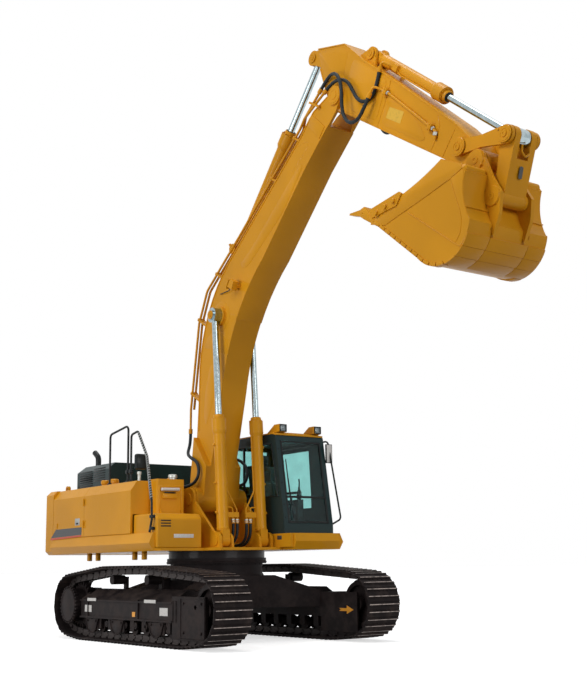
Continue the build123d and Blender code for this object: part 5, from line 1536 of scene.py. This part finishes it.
def screen_bar(name, y_low, z_low, y_high, z_high, proud=0.006, depth=0.020, bevel=0.004):
    """A flat bar on the windscreen's plane."""
    piece = block(name, (-depth, y_low, z_low), (proud, y_high, z_high), bevel)
    for vertex in piece.data.vertices:
        vertex.co.x += slew.x + screen_x(vertex.co.z)
    return piece


class EXCAVATOR_OT_cab(Step, bpy.types.Operator):
    """Seals, bars, trim, lamps, mirror and wipers of the cab."""

    bl_idname = "excavator.cab"
    bl_label = "Cab"

    def make(self, context):
        seals = []
        y0, y1 = cab_right + 0.078, cab_left - 0.078
        z0, z1 = 1.735, 3.015
        for low, high in (
            ((y0, z0), (y0 + 0.030, z1)), ((y1 - 0.030, z0), (y1, z1)), ((y0, z0), (y1, z0 + 0.030)),
            ((y0, z1 - 0.030), (y1, z1)), ((y0, 2.120), (y1, 2.155)),
        ):
            seals.append(screen_bar("seal", low[0], low[1], high[0], high[1]))
        for y, z in ((y0 + 0.02, z0 + 0.02), (y1 - 0.02, z0 + 0.02), (y0 + 0.02, z1 - 0.02), (y1 - 0.02, z1 - 0.02)):
            reach = 0.055
            inward, upward = (1 if y < 1.0 else -1), (1 if z < 2.4 else -1)
            corner = [
                (y, z), (y + inward * reach, z), (y + inward * reach * 0.3, z + upward * reach * 0.3),
                (y, z + upward * reach)
            ]
            piece = plate("corner", [(a, b) for a, b in corner], -0.004, 0.004)
            for vertex in piece.data.vertices:
                x, across, height = vertex.co
                vertex.co = (slew.x + screen_x(height) - 0.004 + across, x, height)
            seals.append(piece)
        arm = [
            (screen_x(1.80) + 0.012, y0 + 0.10, 1.80), (screen_x(2.10) + 0.022, y0 + 0.08, 2.10),
            (screen_x(2.42) + 0.020, y0 + 0.07, 2.42)
        ]
        seals.append(pipe("wiper_arm", [house(*place) for place in arm], 0.007, 0.05, 1))
        blade = [(screen_x(2.06) + 0.012, y0 + 0.075, 2.06), (screen_x(2.72) + 0.012, y0 + 0.065, 2.72)]
        seals.append(pipe("wiper_blade", [house(*place) for place in blade], 0.009, 0.05, 1))
        for z in (1.82, 2.02, 2.35, 2.60, 2.88):
            seals.append(
                between(
                    "bolt", house(screen_x(z) - 0.002, cab_right + 0.035, z),
                    house(screen_x(z) + 0.008, cab_right + 0.035, z), 0.012, 6, 0.003
                )
            )
        side = [(-0.40, 2.150), (0.965, 2.150), (0.800, 2.970), (-0.40, 2.970)]
        for start, end in zip(side, side[1:] + side[:1]):
            seals.append(
                pipe(
                    "side_seal",
                    [house(start[0], cab_right - 0.002, start[1]), house(end[0], cab_right - 0.002, end[1])],
                    0.010, 0.05, 1
                )
            )
        for x in (0.02, 0.44):
            seals.append(
                box_at("post", (x - 0.022, cab_right - 0.004, 2.150), (x + 0.022, cab_right + 0.020, 2.970), 0.004)
            )
        dress(joined(seals, "cab_seals"), "house", "black_enamel")

        trim = [box_at("brow", (0.872, cab_right + 0.01, 3.098), (0.912, cab_left - 0.01, 3.128), 0.010)]
        for y in (cab_right + 0.004, cab_left - 0.020):
            trim.append(plate(
                "roof_edge", [
                    (slew.x + 0.90, 3.098), (slew.x + 0.84, 3.140), (slew.x - 0.30, 3.140),
                    (slew.x - 0.30, 3.118), (slew.x + 0.82, 3.118)
                ],
                y - 0.006, y + 0.016, None, 0.004,
            ))
        dress(joined(trim, "cab_trim"), "house", "yellow_enamel")
        lenses, rims = [], []
        for y in (cab_right + 0.130, cab_left - 0.130):
            lenses.append(box_at("lens", (0.925, y - 0.052, 3.166), (0.936, y + 0.052, 3.256), 0.004))
            for low, high in (
                ((y - 0.064, 3.154), (y - 0.052, 3.268)), ((y + 0.052, 3.154), (y + 0.064, 3.268)),
                ((y - 0.064, 3.256), (y + 0.064, 3.268)), ((y - 0.064, 3.154), (y + 0.064, 3.166)),
            ):
                rims.append(box_at("rim", (0.920, low[0], low[1]), (0.945, high[0], high[1]), 0.002))
        dress(joined(lenses, "cab_lenses"), "house", "lamp_lens")
        dress(joined(rims, "cab_lens_rims"), "house", "black_enamel")
        # The mirror's glass is a pale plate: a painted reflection of the bright surroundings.
        glass = box_at("mirror_painted_reflection", (0.994, 1.440, 2.700), (0.999, 1.540, 2.980), 0.001)
        dress(glass, "house", "blank_plate")


class EXCAVATOR_OT_cab_interior(Step, bpy.types.Operator):
    """Seat, levers, console and screen inside the cab."""

    bl_idname = "excavator.cab_interior"
    bl_label = "Cab interior"

    def make(self, context):
        cushions = [
            box_at("cushion", (-0.02, 0.74, 2.035), (0.46, 1.18, 2.080), 0.020),
            box_at("lumbar", (0.005, 0.76, 2.10), (0.075, 1.16, 2.42), 0.030),
            box_at("shoulder", (-0.040, 0.78, 2.44), (0.030, 1.14, 2.68), 0.030),
            box_at("head", (-0.17, 0.86, 2.70), (-0.07, 1.06, 2.88), 0.030),
        ]
        dress(joined(cushions, "seat_cushions"), "house", "seat_weave")
        dark = [
            box_at("monitor", (0.80, 0.56, 2.16), (0.83, 0.76, 2.32), 0.010),
            pipe("monitor_arm", [house(0.86, 0.56, 1.95), house(0.83, 0.60, 2.10), house(0.82, 0.66, 2.18)], 0.012),
            pipe(
                "grab_rail", [house(0.80, 0.545, 2.10), house(0.70, 0.545, 2.55), house(0.30, 0.545, 2.62)],
                0.012, 0.08
            ),
        ]
        for y in (0.620, 1.300):
            dark += [
                pipe("lever", [house(0.430, y, 2.33), house(0.440, y, 2.42), house(0.425, y, 2.47)], 0.012),
                turned(
                    "boot", [(0.0, 0.045), (0.03, 0.036), (0.06, 0.040), (0.09, 0.024), (0.12, 0.012)], 16,
                    Matrix.Translation(house(0.430, y, 2.20))
                ),
                box_at("arm_rest", (0.08, y - 0.04, 2.235), (0.36, y + 0.04, 2.275), 0.015)
            ]
        for y in (0.890, 1.030):
            dark += [
                box_at("pedal", (0.72, y - 0.035, 1.70), (0.80, y + 0.035, 1.76), 0.010),
                between("knob", house(0.772, y, 2.12), house(0.772, y, 2.17), 0.020, 16)
            ]
        dress(joined(dark, "cab_controls"), "house", "console_plastic")
# ---------------------------------------------------------------- pins and cylinders
boom_cylinder_y = 0.345         # middle of a boom cylinder, from the middle plane
boom_barrel_outer = 0.090
pin_rings = [
    (0.0, 1.0), (0.16, 0.97), (0.16, 0.66), (0.10, 0.62), (0.10, 0.50), (0.24, 0.46), (0.24, 0.22), (0.18, 0.18)
]


def pin_cap(name, place, face, side, radius, sides=28):
    """A ringed cap on the end of a pin, at a height above the middle plane."""
    matrix = facing_out((place.x, side * face, place.z), side)
    return turned(name, [(height * radius, share * radius) for height, share in pin_rings], sides, matrix)


def keeper(name, place, face, side, reach, angle, size=0.024):
    """The flag that stops a pin from turning: a short plate with its bolt."""
    way = Vector((cos(angle), 0.0, sin(angle)))
    base = Vector((place.x, side * face, place.z))
    low, high = span(side, face - 0.002, face + 0.012)
    outline = [
        (base + way * reach * t + Vector((-way.z, 0.0, way.x)) * w) for t,
        w in ((0.45, -size), (1.0, -size), (1.12, 0.0), (1.0, size), (0.45, size))
    ]
    flag = plate(name, [(p.x, p.z) for p in outline], low, high, None, 0.004)
    head = bolts(
        "keeper_bolt", [base + way * reach * 0.95 + Vector((0.0, side * 0.011, 0.0))], (0.0, side, 0.0),
        size * 1.15
    )
    return joined([flag, head], name)


class EXCAVATOR_OT_cylinders(Step, bpy.types.Operator):
    """Glands with their bolts, wiper rings and end tapers of the four cylinders."""

    bl_idname = "excavator.cylinders"
    bl_label = "Cylinders"

    def make(self, context):
        sets = [
            (boom_cylinder_frame, -boom_cylinder_y, "boom_barrel_right", boom_barrel_outer, 0.108, 0.050, 1.850),
            (boom_cylinder_frame, boom_cylinder_y, "boom_barrel_left", boom_barrel_outer, 0.108, 0.050, 1.850),
            (arm_cylinder_frame, 0.0, "arm_barrel", 0.100, 0.122, 0.053, 2.000),
            (bucket_cylinder_frame, 0.0, "bucket_barrel", 0.082, 0.115, 0.045, 1.657),
        ]
        for place, y, body, outer, gland, rod, length in sets:
            along = place(1.0, 0.0) - place(0.0, 0.0)
            stand = aim(place(0.0, 0.0, y), along)
            neck = turned("neck", [
                (length - 0.240, outer + 0.001), (length - 0.186, gland + 0.001), (length - 0.160, gland + 0.001),
                (length - 0.155, gland - 0.001),
            ], 40, stand)
            groove = turned("collar", [
                (length - 0.004, gland - 0.004), (length + 0.004, gland - 0.012), (length + 0.004, rod + 0.034),
                (length + 0.052, rod + 0.032), (length + 0.060, rod + 0.026), (length + 0.060, rod + 0.004),
            ], 40, stand)
            parts = [neck, groove]
            heads = []
            for i in range(8):
                turn = 2 * pi * (i + 0.5) / 8
                ring = (gland + rod + 0.030) / 2
                heads.append(stand @ Matrix.Translation((ring * cos(turn), ring * sin(turn), length + 0.003)))
            parts += [
                copies(hex_bolt(0.026), heads, "gland_bolts"),
                turned(
                    "foot_ring",
                    [(0.165, outer + 0.001), (0.172, outer + 0.006), (0.186, outer + 0.006), (0.192, outer + 0.001)],
                    40, stand
                )
            ]
            dress(joined(parts, "gland_" + body), body, "yellow_enamel")
            wiper = turned(
                "wiper",
                [(length + 0.058, rod + 0.020), (length + 0.064, rod + 0.018), (length + 0.064, rod + 0.002)],
                32, stand
            )
            dress(wiper, body, "hose_rubber")
        for side, word in ((-1, "right"), (1, "left")):
            made = []
            for spot in (0.084, 0.157):
                top = boom_cylinder_frame(0.322, 0.0, side * spot)
                low = boom_cylinder_frame(0.296, 0.0, side * spot)
                made += [
                    between("nut", low, top, 0.034, 6, 0.004),
                    between(
                        "nut", boom_cylinder_frame(0.268, 0.0, side * spot),
                        boom_cylinder_frame(0.286, 0.0, side * spot), 0.031, 16, 0.004
                    )
                ]
            dress(joined(made, "port_nuts_" + word), "boom_barrel_" + word, "zinc_fitting")
            clamps = []
            for along in (0.420, 0.866, 1.446):
                low, high = span(side, boom_cylinder_y + 0.088, boom_cylinder_y + 0.120)
                clamps += [
                    plate(
                        "strap_ear",
                        [
                            (along - 0.016, -0.016), (along + 0.016, -0.016), (along + 0.016, 0.016),
                            (along - 0.016, 0.016)
                        ],
                        low, high, boom_cylinder_frame.matrix(), 0.003
                    ),
                    bolts(
                        "strap_bolt", [boom_cylinder_frame(along, 0.015, side * 0.452)],
                        boom_cylinder_frame(0.0, 1.0) - boom_cylinder_frame(0.0, 0.0), 0.020
                    )
                ]
            dress(joined(clamps, "straps_" + word), "boom_barrel_" + word, "yellow_enamel")


class EXCAVATOR_OT_pins(Step, bpy.types.Operator):
    """Ringed caps and keepers on the ends of the pins."""

    bl_idname = "excavator.pins"
    bl_label = "Pins"

    def make(self, context):
        rows = [
            ("house", boom_foot, 0.4625, 0.130, 0.5), ("house", boom_cylinder_foot, 0.4625, 0.082, None),
            ("boom", arm_cylinder_foot, 0.175, 0.082, 2.2), ("boom_rod", boom_rod_eye, 0.429, 0.072, None),
            ("arm", bucket_cylinder_foot, 0.137, 0.076, None), ("arm", rocker_foot, 0.248, 0.092, None),
            ("rocker", link_eye, 0.248, 0.088, 2.4), ("bucket", bucket_foot, 0.286, 0.105, 5.6),
            ("bucket", link_foot, 0.286, 0.095, 5.2), ("arm", arm_rod_eye, 0.150, 0.070, None),
        ]
        for body, place, face, radius, flag in rows:
            for side, word in ((-1, "right"), (1, "left")):
                owner = f"{body}_{word}" if body == "boom_rod" else body
                parts = [pin_cap("cap", place, face - 0.002, side, radius)]
                if flag is not None:
                    parts.append(keeper("keeper", place, face, side, radius * 1.25, flag))
                dress(joined(parts, f"pin_{owner}_{word}"), owner, "yellow_enamel")


# ---------------------------------------------------------------- bucket
bucket_side = 0.650
lip_x = 1.620


class EXCAVATOR_OT_bucket(Step, bpy.types.Operator):
    """Side panels, seams, wear plates, cutter bolts and tooth sockets of the bucket."""

    bl_idname = "excavator.bucket"
    bl_label = "Bucket"

    def make(self, context):
        back = arc_through((-0.125, 0.860), (0.210, 1.203), (0.764, 1.014), 36)
        throat = arc_through((-0.150, 0.270), (-0.078, 0.520), (-0.125, 0.860), 16)

        def sides(side):
            made = []
            band = [
                (1.500, 0.172), (1.540, 0.300), (1.292, 0.405), (0.864, 0.360), (0.556, 0.330), (0.088, 0.272),
                (-0.120, 0.225), (-0.085, 0.155)
            ]
            rim = arc_through((0.200, -0.020), (0.700, 0.106), (1.500, 0.156), 10)
            made.append(panel("upper_band", bucket_frame, band + rim, bucket_side, side, 0.009, 0.004))
            edge = [(0.088, 0.274), (0.052, 0.475), (0.006, 0.685), (-0.004, 0.828), (0.042, 0.966), (0.137, 1.052)]
            heel = [(x + 0.012 * (x - 0.3), y - 0.010) for x, y in back[:14]]
            flank = [(-0.118, 0.235)] + [(x + 0.006, y) for x, y in throat[1:-1]]
            cheek = edge[::-1] + flank + heel[:12]
            made.append(panel("cheek", bucket_frame, cheek, bucket_side, side, 0.007, 0.003))
            ridge = [
                bucket_frame(x, y, side * (bucket_side + 0.003)) for x,
                y in ((0.856, 0.397), (0.605, 0.630), (0.149, 1.056), (0.070, 1.118))
            ]
            made.append(pipe("ridge", ridge, 0.008, 0.05, 1))
            trace = [bucket_frame(x, y, side * (bucket_side + 0.007)) for x, y in edge]
            made.append(pipe("trace", trace, 0.006, 0.08, 1))
            face = 0.676
            spots = [
                bucket_frame(x, y, side * (face - 0.002)) for x,
                y in ((1.387, 0.205), (1.215, 0.190), (1.054, 0.172))
            ]
            made.append(bolts("cutter_bolts", spots, (0.0, side, 0.0), 0.062))
            for spot in spots:
                made.append(between("recess", spot, spot + Vector((0.0, side * 0.006, 0.0)), 0.050, 24, 0.003))
            return joined(made, "bucket_side")

        dress(joined(both_sides(sides), "bucket_sides"), "bucket", "yellow_enamel")

        wear = []
        rows = [(5, 10), (10, 15), (15, 21)]
        splits = [(-0.655, -0.290), (-0.284, 0.350), (0.356, 0.655)]
        for i, (first, last) in enumerate(rows):
            line = back[first:last + 1]
            shrink = [line[0], *line[1:-1], (line[-1][0] - 0.006 * (line[-1][0] - line[-2][0]) / 0.04, line[-1][1])]
            for low, high in splits:
                wear.append(plate("wear", ribbon(shrink, 0.013, 0.003), low, high, bucket_frame.matrix(), 0.003))
        route = [Vector(p) for p in back[21:]] + [Vector((lip_x - 0.06, 0.200))]
        lengths = [(b - a).length for a, b in zip(route, route[1:])]

        def along(distance):
            for a, b, length in zip(route, route[1:], lengths):
                if distance <= length:
                    return a.lerp(b, distance / length)
                distance -= length
            return route[-1]

        count = 13
        step = sum(lengths) / count
        for i in range(count):
            piece = [
                tuple(along(i * step + 0.008)), tuple(along((i + 0.5) * step)),
                tuple(along((i + 1) * step - 0.008))
            ]
            for side in (-1, 1):
                low, high = span(side, 0.560, 0.663)
                wear.append(plate("edge_block", ribbon(piece, 0.014, 0.030), low, high, bucket_frame.matrix(), 0.004))
        dress(joined(wear, "bucket_wear"), "bucket", "yellow_enamel")

        extra = []
        for side in (-1, 1):
            low, high = span(side, 0.288, 0.646)
            extra += [
                between("hump", bucket_frame(-0.098, 0.222, low), bucket_frame(-0.098, 0.222, high), 0.058, 24, 0.030),
                between("bead", bucket_frame(-0.094, 0.690, low), bucket_frame(-0.094, 0.690, high), 0.008, 8, 0.002)
            ]
            for reach, radius in ((0.0, 0.135), (1.0, 0.124)):
                spot = bucket_foot if reach == 0.0 else link_foot
                matrix = facing_out((spot.x, side * 0.284, spot.z), side)
                extra.append(
                    turned("ear_boss", [(0.0, radius), (0.018, radius - 0.006), (0.018, radius - 0.03)], 32, matrix)
                )
        for y in (-0.300, 0.340):
            for layer in range(2):
                extra.append(
                    between("ear_bead", bucket_frame(-0.118, 0.900, y), bucket_frame(0.030, 1.110, y), 0.006, 8, 0.002)
                )
        for i in range(5):
            y = (i - 2) * (bucket_side - 0.065) / 2
            socket = [
                (lip_x - 0.190, 0.330), (lip_x - 0.175, 0.352), (lip_x + 0.060, 0.168), (lip_x + 0.118, 0.112),
                (lip_x + 0.098, 0.022), (lip_x + 0.020, 0.012), (lip_x - 0.060, 0.120),
            ]
            extra += [
                plate("socket", socket, y - 0.072, y + 0.072, bucket_frame.matrix(), 0.014),
                between(
                    "tooth_pin", bucket_frame(lip_x + 0.062, 0.082, y - 0.078),
                    bucket_frame(lip_x + 0.062, 0.082, y + 0.078), 0.016, 12, 0.004
                )
            ]
        dress(joined(extra, "bucket_fittings"), "bucket", "yellow_enamel")


class EXCAVATOR_OT_linkage(Step, bpy.types.Operator):
    """Bosses of the rockers, the loop and lugs of the bucket link, and painted shade where its slot is."""

    bl_idname = "excavator.linkage"
    bl_label = "Linkage"

    def make(self, context):
        made = []
        for side in (-1, 1):
            for spot, radius in ((rocker_foot, 0.118), (link_eye, 0.108)):
                matrix = facing_out((spot.x, side * 0.246, spot.z), side)
                made.append(
                    turned("boss", [(0.0, radius), (0.010, radius - 0.006), (0.010, radius - 0.03)], 32, matrix)
                )
        dress(joined(made, "rocker_bosses"), "rocker", "yellow_enamel")
        reach = (link_foot - link_eye).length
        made = []
        front = link_frame(0.0, 1.0) - link_frame(0.0, 0.0)
        sign = 1.0 if front.x > 0 else -1.0
        out = sign * 0.132
        loop = [
            link_frame(reach * 0.13, out, -0.062), link_frame(reach * 0.24, out + sign * 0.012, -0.066),
            link_frame(reach * 0.31, out + sign * 0.014, 0.0),
            link_frame(reach * 0.24, out + sign * 0.012, 0.066), link_frame(reach * 0.13, out, 0.062)
        ]
        made.append(pipe("loop", loop, 0.013, 0.06, 2))
        for side in (-1, 1):
            for share in (0.0, 1.0):
                spot = link_frame(reach * share, 0.0)
                matrix = facing_out((spot.x, side * 0.176, spot.z), side)
                made.append(turned("link_ring", [(0.0, 0.098), (0.008, 0.094), (0.008, 0.06)], 28, matrix))
        dress(joined(made, "link_fittings"), "bucket_link", "yellow_enamel")
        # The slot is a dark flat sheet: painted shade where the opening is.
        slot = []
        for low_share, high_share in ((0.46, 0.66),):
            ring = rounded(
                [
                    (reach * low_share, -0.030), (reach * high_share, -0.030), (reach * high_share, 0.030),
                    (reach * low_share, 0.030)
                ],
                0.03
            )
            flat = plate("slot", ring, -0.001, 0.001)
            turn = Matrix(((1, 0, 0, 0), (0, 0, 1, 0), (0, 1, 0, 0), (0, 0, 0, 1)))
            flat.data.transform(link_frame.matrix(0.0, sign * 0.1175) @ turn)
            slot.append(flat)
        dress(joined(slot, "link_slot_painted_shade"), "bucket_link", "stripe_dark")


# ---------------------------------------------------------------- undercarriage
class EXCAVATOR_OT_undercarriage(Step, bpy.types.Operator):
    """Ribs, covers, roller guards, blank plates and the arrow of the track frames."""

    bl_idname = "excavator.undercarriage"
    bl_label = "Undercarriage"

    def make(self, context):
        for node in ("track_frame_left", "track_frame_right", "final_drive_left", "final_drive_right", "carbody"):
            softened(node, 0.010)
        face = 1.475
        for side, word in ((-1, "right"), (1, "left")):
            made = []

            def on_side(name, outline, inner, outer, bevel=0.004):
                low, high = span(side, inner, outer)
                return plate(name, [(slew.x + x, z) for x, z in outline], low, high, None, bevel)

            for x in (-1.838, -1.430, 0.205, 1.215, 1.300):
                made.append(
                    on_side(
                        "rib", [(x - 0.008, 0.345), (x + 0.008, 0.345), (x + 0.008, 0.640), (x - 0.008, 0.640)],
                        face - 0.01, face + 0.021
                    )
                )
            for x in (-1.290, -0.458, 0.738):
                outline = [(x - 0.215, 0.330)] + arc_through(
                    (x - 0.150, 0.180), (x, 0.120), (x + 0.150, 0.180), 8
                ) + [(x + 0.215, 0.330)]
                made.append(on_side("roller_guard", outline, face - 0.004, face + 0.010))
                rim = [house(px, side * (face + 0.012), pz) for px, pz in outline]
                made += [
                    pipe("guard_rim", rim, 0.010, 0.06, 1),
                    bolts(
                        "guard_bolts",
                        [house(x - 0.14, side * (face + 0.010), 0.300), house(x + 0.14, side * (face + 0.010), 0.300)],
                        (0.0, side, 0.0), 0.034
                    )
                ]
            for i in range(9):
                x = -1.450 + i * 0.305
                matrix = facing_out(house(x, side * (face - 0.030), 0.262), side)
                made.append(
                    turned("roller_cap", [(0.0, 0.052), (0.012, 0.048), (0.012, 0.030), (0.018, 0.022)], 16, matrix)
                )
            centre = house(-2.005, side * 1.550, 0.530)
            matrix = facing_out(centre, side)
            made.append(
                turned(
                    "drive_cover",
                    [(-0.02, 0.262), (0.012, 0.256), (0.016, 0.235), (0.010, 0.228), (0.014, 0.120), (0.020, 0.050)],
                    48, matrix
                )
            )
            lumps = []
            for i in range(30):
                turn = 2 * pi * i / 30
                lumps.append(matrix @ Matrix.Translation((0.280 * cos(turn), 0.280 * sin(turn), -0.030)))
            lump = turned("lump", [(0.0, 0.018), (0.034, 0.018), (0.040, 0.012)], 8)
            made.append(copies(lump, lumps, "drive_lumps"))
            guard = [(1.425, 0.150), (2.040, 0.150), (2.040, 0.680), (1.425, 0.680)]
            for a, b in zip(guard, guard[1:] + guard[:1]):
                rim = [house(a[0], side * 1.487, a[1]), house(b[0], side * 1.487, b[1])]
                made.append(pipe("guard_edge", rim, 0.010, 0.02, 1))
            made.append(
                bolts(
                    "guard_bolts", [house(x, side * 1.486, z) for x in (1.50, 1.96) for z in (0.22, 0.61)],
                    (0.0, side, 0.0), 0.036
                )
            )
            dress(joined(made, "frame_fittings_" + word), "undercarriage", "frame_paint")

            pale = []
            for x0, x1, z0, z1 in ((-1.556, -1.324, 0.430, 0.534), (0.824, 1.053, 0.427, 0.537)):
                pale.append(on_side("plate", [(x0, z0), (x1, z0), (x1, z1), (x0, z1)], face, face + 0.002, 0.0))
            for x0, x1 in ((-1.425, -1.131), (0.412, 0.748)):
                pale.append(
                    on_side(
                        "top_plate", [(x0, 0.598), (x1, 0.598), (x1, 0.644), (x0, 0.644)], face + 0.018,
                        face + 0.026, 0.001
                    )
                )
            dress(joined(pale, "frame_plates_" + word), "undercarriage", "blank_plate")
            square = on_side(
                "square", [(0.008, 0.392), (0.102, 0.392), (0.102, 0.462), (0.008, 0.462)], face, face + 0.002,
                0.0
            )
            dress(square, "undercarriage", "mark_orange")
            # The slot is a dark flat sheet: painted shade where the opening is.
            slot = on_side(
                "slot", [(0.170, 0.440), (0.198, 0.440), (0.198, 0.560), (0.170, 0.560)], face, face + 0.001,
                0.0
            )
            dress(slot, "undercarriage", "stripe_dark")
        arrow = [
            (1.640, 0.425), (1.820, 0.425), (1.820, 0.385), (1.975, 0.447), (1.820, 0.508), (1.820, 0.468),
            (1.640, 0.468), (1.680, 0.447),
        ]
        for side, inner in ((1, 1.115), (-1, -1.115)):
            low, high = sorted((inner, inner - side * 0.002))
            mark = plate("arrow", [(slew.x + x, z) for x, z in arrow], low, high)
            dress(mark, "undercarriage", "mark_orange")
        bearing = [(0.0, 0.775), (0.020, 0.780), (0.030, 0.770)]
        made = [turned("bearing_rim", bearing, 72, Matrix.Translation(house(0.0, 0.0, 1.150)))]
        spots = [house(0.700 * cos(t), 0.700 * sin(t), 1.140) for t in [2 * pi * i / 30 for i in range(30)]]
        heads = copies(
            turned("nut", [(0.0, 0.020), (0.022, 0.018)], 6), [aim(spot, (0.0, 0.0, -1.0)) for spot in spots],
            "bearing_nuts"
        )
        made.append(heads)
        dress(joined(made, "bearing_fittings"), "undercarriage", "frame_paint")


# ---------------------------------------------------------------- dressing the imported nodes
class EXCAVATOR_OT_finishes(bpy.types.Operator):
    """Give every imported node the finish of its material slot"""

    bl_idname = "excavator.finishes"
    bl_label = "Finishes"

    def execute(self, context):
        make_finishes(context.scene.excavator_paint)
        slots = {row["node"]: row["material_slot"] for row in frame["record"]["subparts"]}
        for name, node in frame["nodes"].items():
            finish = finishes[node_finishes.get(name, slot_finishes[slots[name]])]
            node.data.materials.clear()
            node.data.materials.append(finish)
        return {"FINISHED"}


node_finishes = {"cab_lamps": "yellow_enamel", "controls": "console_plastic", "main_frame": "deck_enamel"}


class EXCAVATOR_OT_studio(bpy.types.Operator):
    """Set up the floor, the light and the camera"""

    bl_idname = "excavator.studio"
    bl_label = "Studio"

    def execute(self, context):
        studio = context.scene.excavator_studio
        self.floor()
        self.lamps(context.scene, studio)
        self.camera(context.scene, studio)
        return {"FINISHED"}

    def floor(self):
        bpy.ops.object.select_all(action="DESELECT")
        bpy.ops.mesh.primitive_plane_add(size=400.0, location=(0.0, 0.0, -0.002))
        floor = bpy.context.object
        floor.name = "floor"
        finish = Finish("studio_floor")
        catch = finish.node("ShaderNodeBsdfDiffuse", None, (0.80, 0.80, 0.80))
        bounce = finish.node("ShaderNodeBsdfDiffuse", None, (0.32, 0.31, 0.30))
        glow = finish.node("ShaderNodeEmission", None, (1.0, 1.0, 1.0), 0.62)
        finish.tree.nodes.remove(finish.shader)
        seen = self.seen(finish)
        paper = finish.node("ShaderNodeAddShader", None, catch, glow)
        both = finish.node("ShaderNodeMixShader", None, seen, bounce, paper)
        output = next(n for n in finish.tree.nodes if n.type == "OUTPUT_MATERIAL")
        finish.put(output.inputs["Surface"], both)
        floor.data.materials.append(finish.material)

    def seen(self, finish):
        """1 for rays that show the surroundings, and 0 for rays that light the machine."""
        path = finish.tree.nodes.new("ShaderNodeLightPath")
        camera, glossy, through = (
            Wire(finish, path.outputs[name]) for name in ("Is Camera Ray", "Is Glossy Ray", "Is Transmission Ray")
        )
        return camera.at_least(glossy).at_least(through)

    def lamps(self, scene, studio):
        for name, kind, place, aim_at, power, size in (
            ("side_sun", "SUN", (-2.0, -8.0, 6.4), (0.0, 0.0, 0.0), studio.side_sun, radians(14)),
            ("top_sun", "SUN", (-1.5, 0.4, 9.0), (0.0, 0.0, 0.0), studio.top_sun, radians(25)),
            ("front_sun", "SUN", (8.0, 0.5, 1.0), (0.0, 0.0, 0.0), studio.front_sun, radians(30)),
            ("house_panel", "AREA", (-1.0, -13.0, 3.5), (-2.5, 0.0, 1.6), studio.panel, 5.0),
            ("arm_panel", "AREA", (4.2, -5.6, 10.2), (3.0, 0.0, 7.4), studio.panel * 0.32, 2.5),
        ):
            lamp = bpy.data.lights.new(name, kind)
            lamp.energy = power
            if kind == "SUN":
                lamp.angle = size
            else:
                lamp.size = size
            holder = bpy.data.objects.new(name, lamp)
            holder.location = place
            holder.rotation_euler = (Vector(aim_at) - Vector(place)).to_track_quat("-Z", "Y").to_euler()
            scene.collection.objects.link(holder)
        world = bpy.data.worlds.new("studio_sky")
        world.use_nodes = True
        scene.world = world
        sky = Finish.over(world.node_tree)
        light = sky.node("ShaderNodeBackground", None, (0.90, 0.95, 1.0), studio.sky)
        white = sky.node("ShaderNodeBackground", None, (1.0, 1.0, 1.0), 1.0)
        both = sky.node("ShaderNodeMixShader", None, self.seen(sky), light, white)
        sky.put(world.node_tree.nodes["World Output"].inputs["Surface"], both)
        scene.view_settings.view_transform = "Standard"

    def camera(self, scene, studio):
        camera = bpy.data.cameras.new("camera")
        camera.lens = studio.lens
        camera.sensor_width = 36.0
        camera.shift_y = 0.0061
        camera.clip_end = 300.0
        holder = bpy.data.objects.new("camera", camera)
        azimuth, pitch, roll = studio.camera_turn
        view = Vector((cos(pitch) * cos(azimuth), cos(pitch) * sin(azimuth), sin(pitch)))
        level = view.to_track_quat("-Z", "Y").to_matrix()
        holder.matrix_world = (
            Matrix.Translation(studio.camera_place) @ (level @ Matrix.Rotation(roll, 3, "Z")).to_4x4()
        )
        scene.collection.objects.link(holder)
        scene.camera = holder


class EXCAVATOR_PT_panel(bpy.types.Panel):
    """The machine's settings and the steps that dress it"""

    bl_idname = "EXCAVATOR_PT_panel"
    bl_label = "Excavator"
    bl_space_type = "VIEW_3D"
    bl_region_type = "UI"
    bl_category = "Excavator"

    def draw(self, context):
        layout = self.layout
        for name in group_names:
            box = layout.box()
            settings = getattr(context.scene, name)
            for key in settings.bl_rna.properties.keys():
                if key not in ("rna_type", "name"):
                    box.prop(settings, key)
        for operator in operators:
            layout.operator(operator.bl_idname)


group_names = {
    "excavator_paint": PaintSettings,
    "excavator_fittings": FittingSettings,
    "excavator_studio": StudioSettings,
}
operators = [cls for cls in bpy.types.Operator.__subclasses__() if cls.__name__.startswith("EXCAVATOR_OT_")]
classes = [*group_names.values(), *operators, EXCAVATOR_PT_panel]


def register():
    for cls in classes:
        bpy.utils.register_class(cls)
    for name, group in group_names.items():
        setattr(bpy.types.Scene, name, PointerProperty(type=group))


def unregister():
    for name in group_names:
        delattr(bpy.types.Scene, name)
    for cls in reversed(classes):
        bpy.utils.unregister_class(cls)


def main():
    register()
    bpy.ops.excavator.finishes()
    for operator in operators:
        if operator.bl_idname not in ("excavator.finishes", "excavator.studio"):
            group, name = operator.bl_idname.split(".")
            getattr(getattr(bpy.ops, group), name)()
    bpy.ops.excavator.studio()


if __name__ == "__main__":
    main()
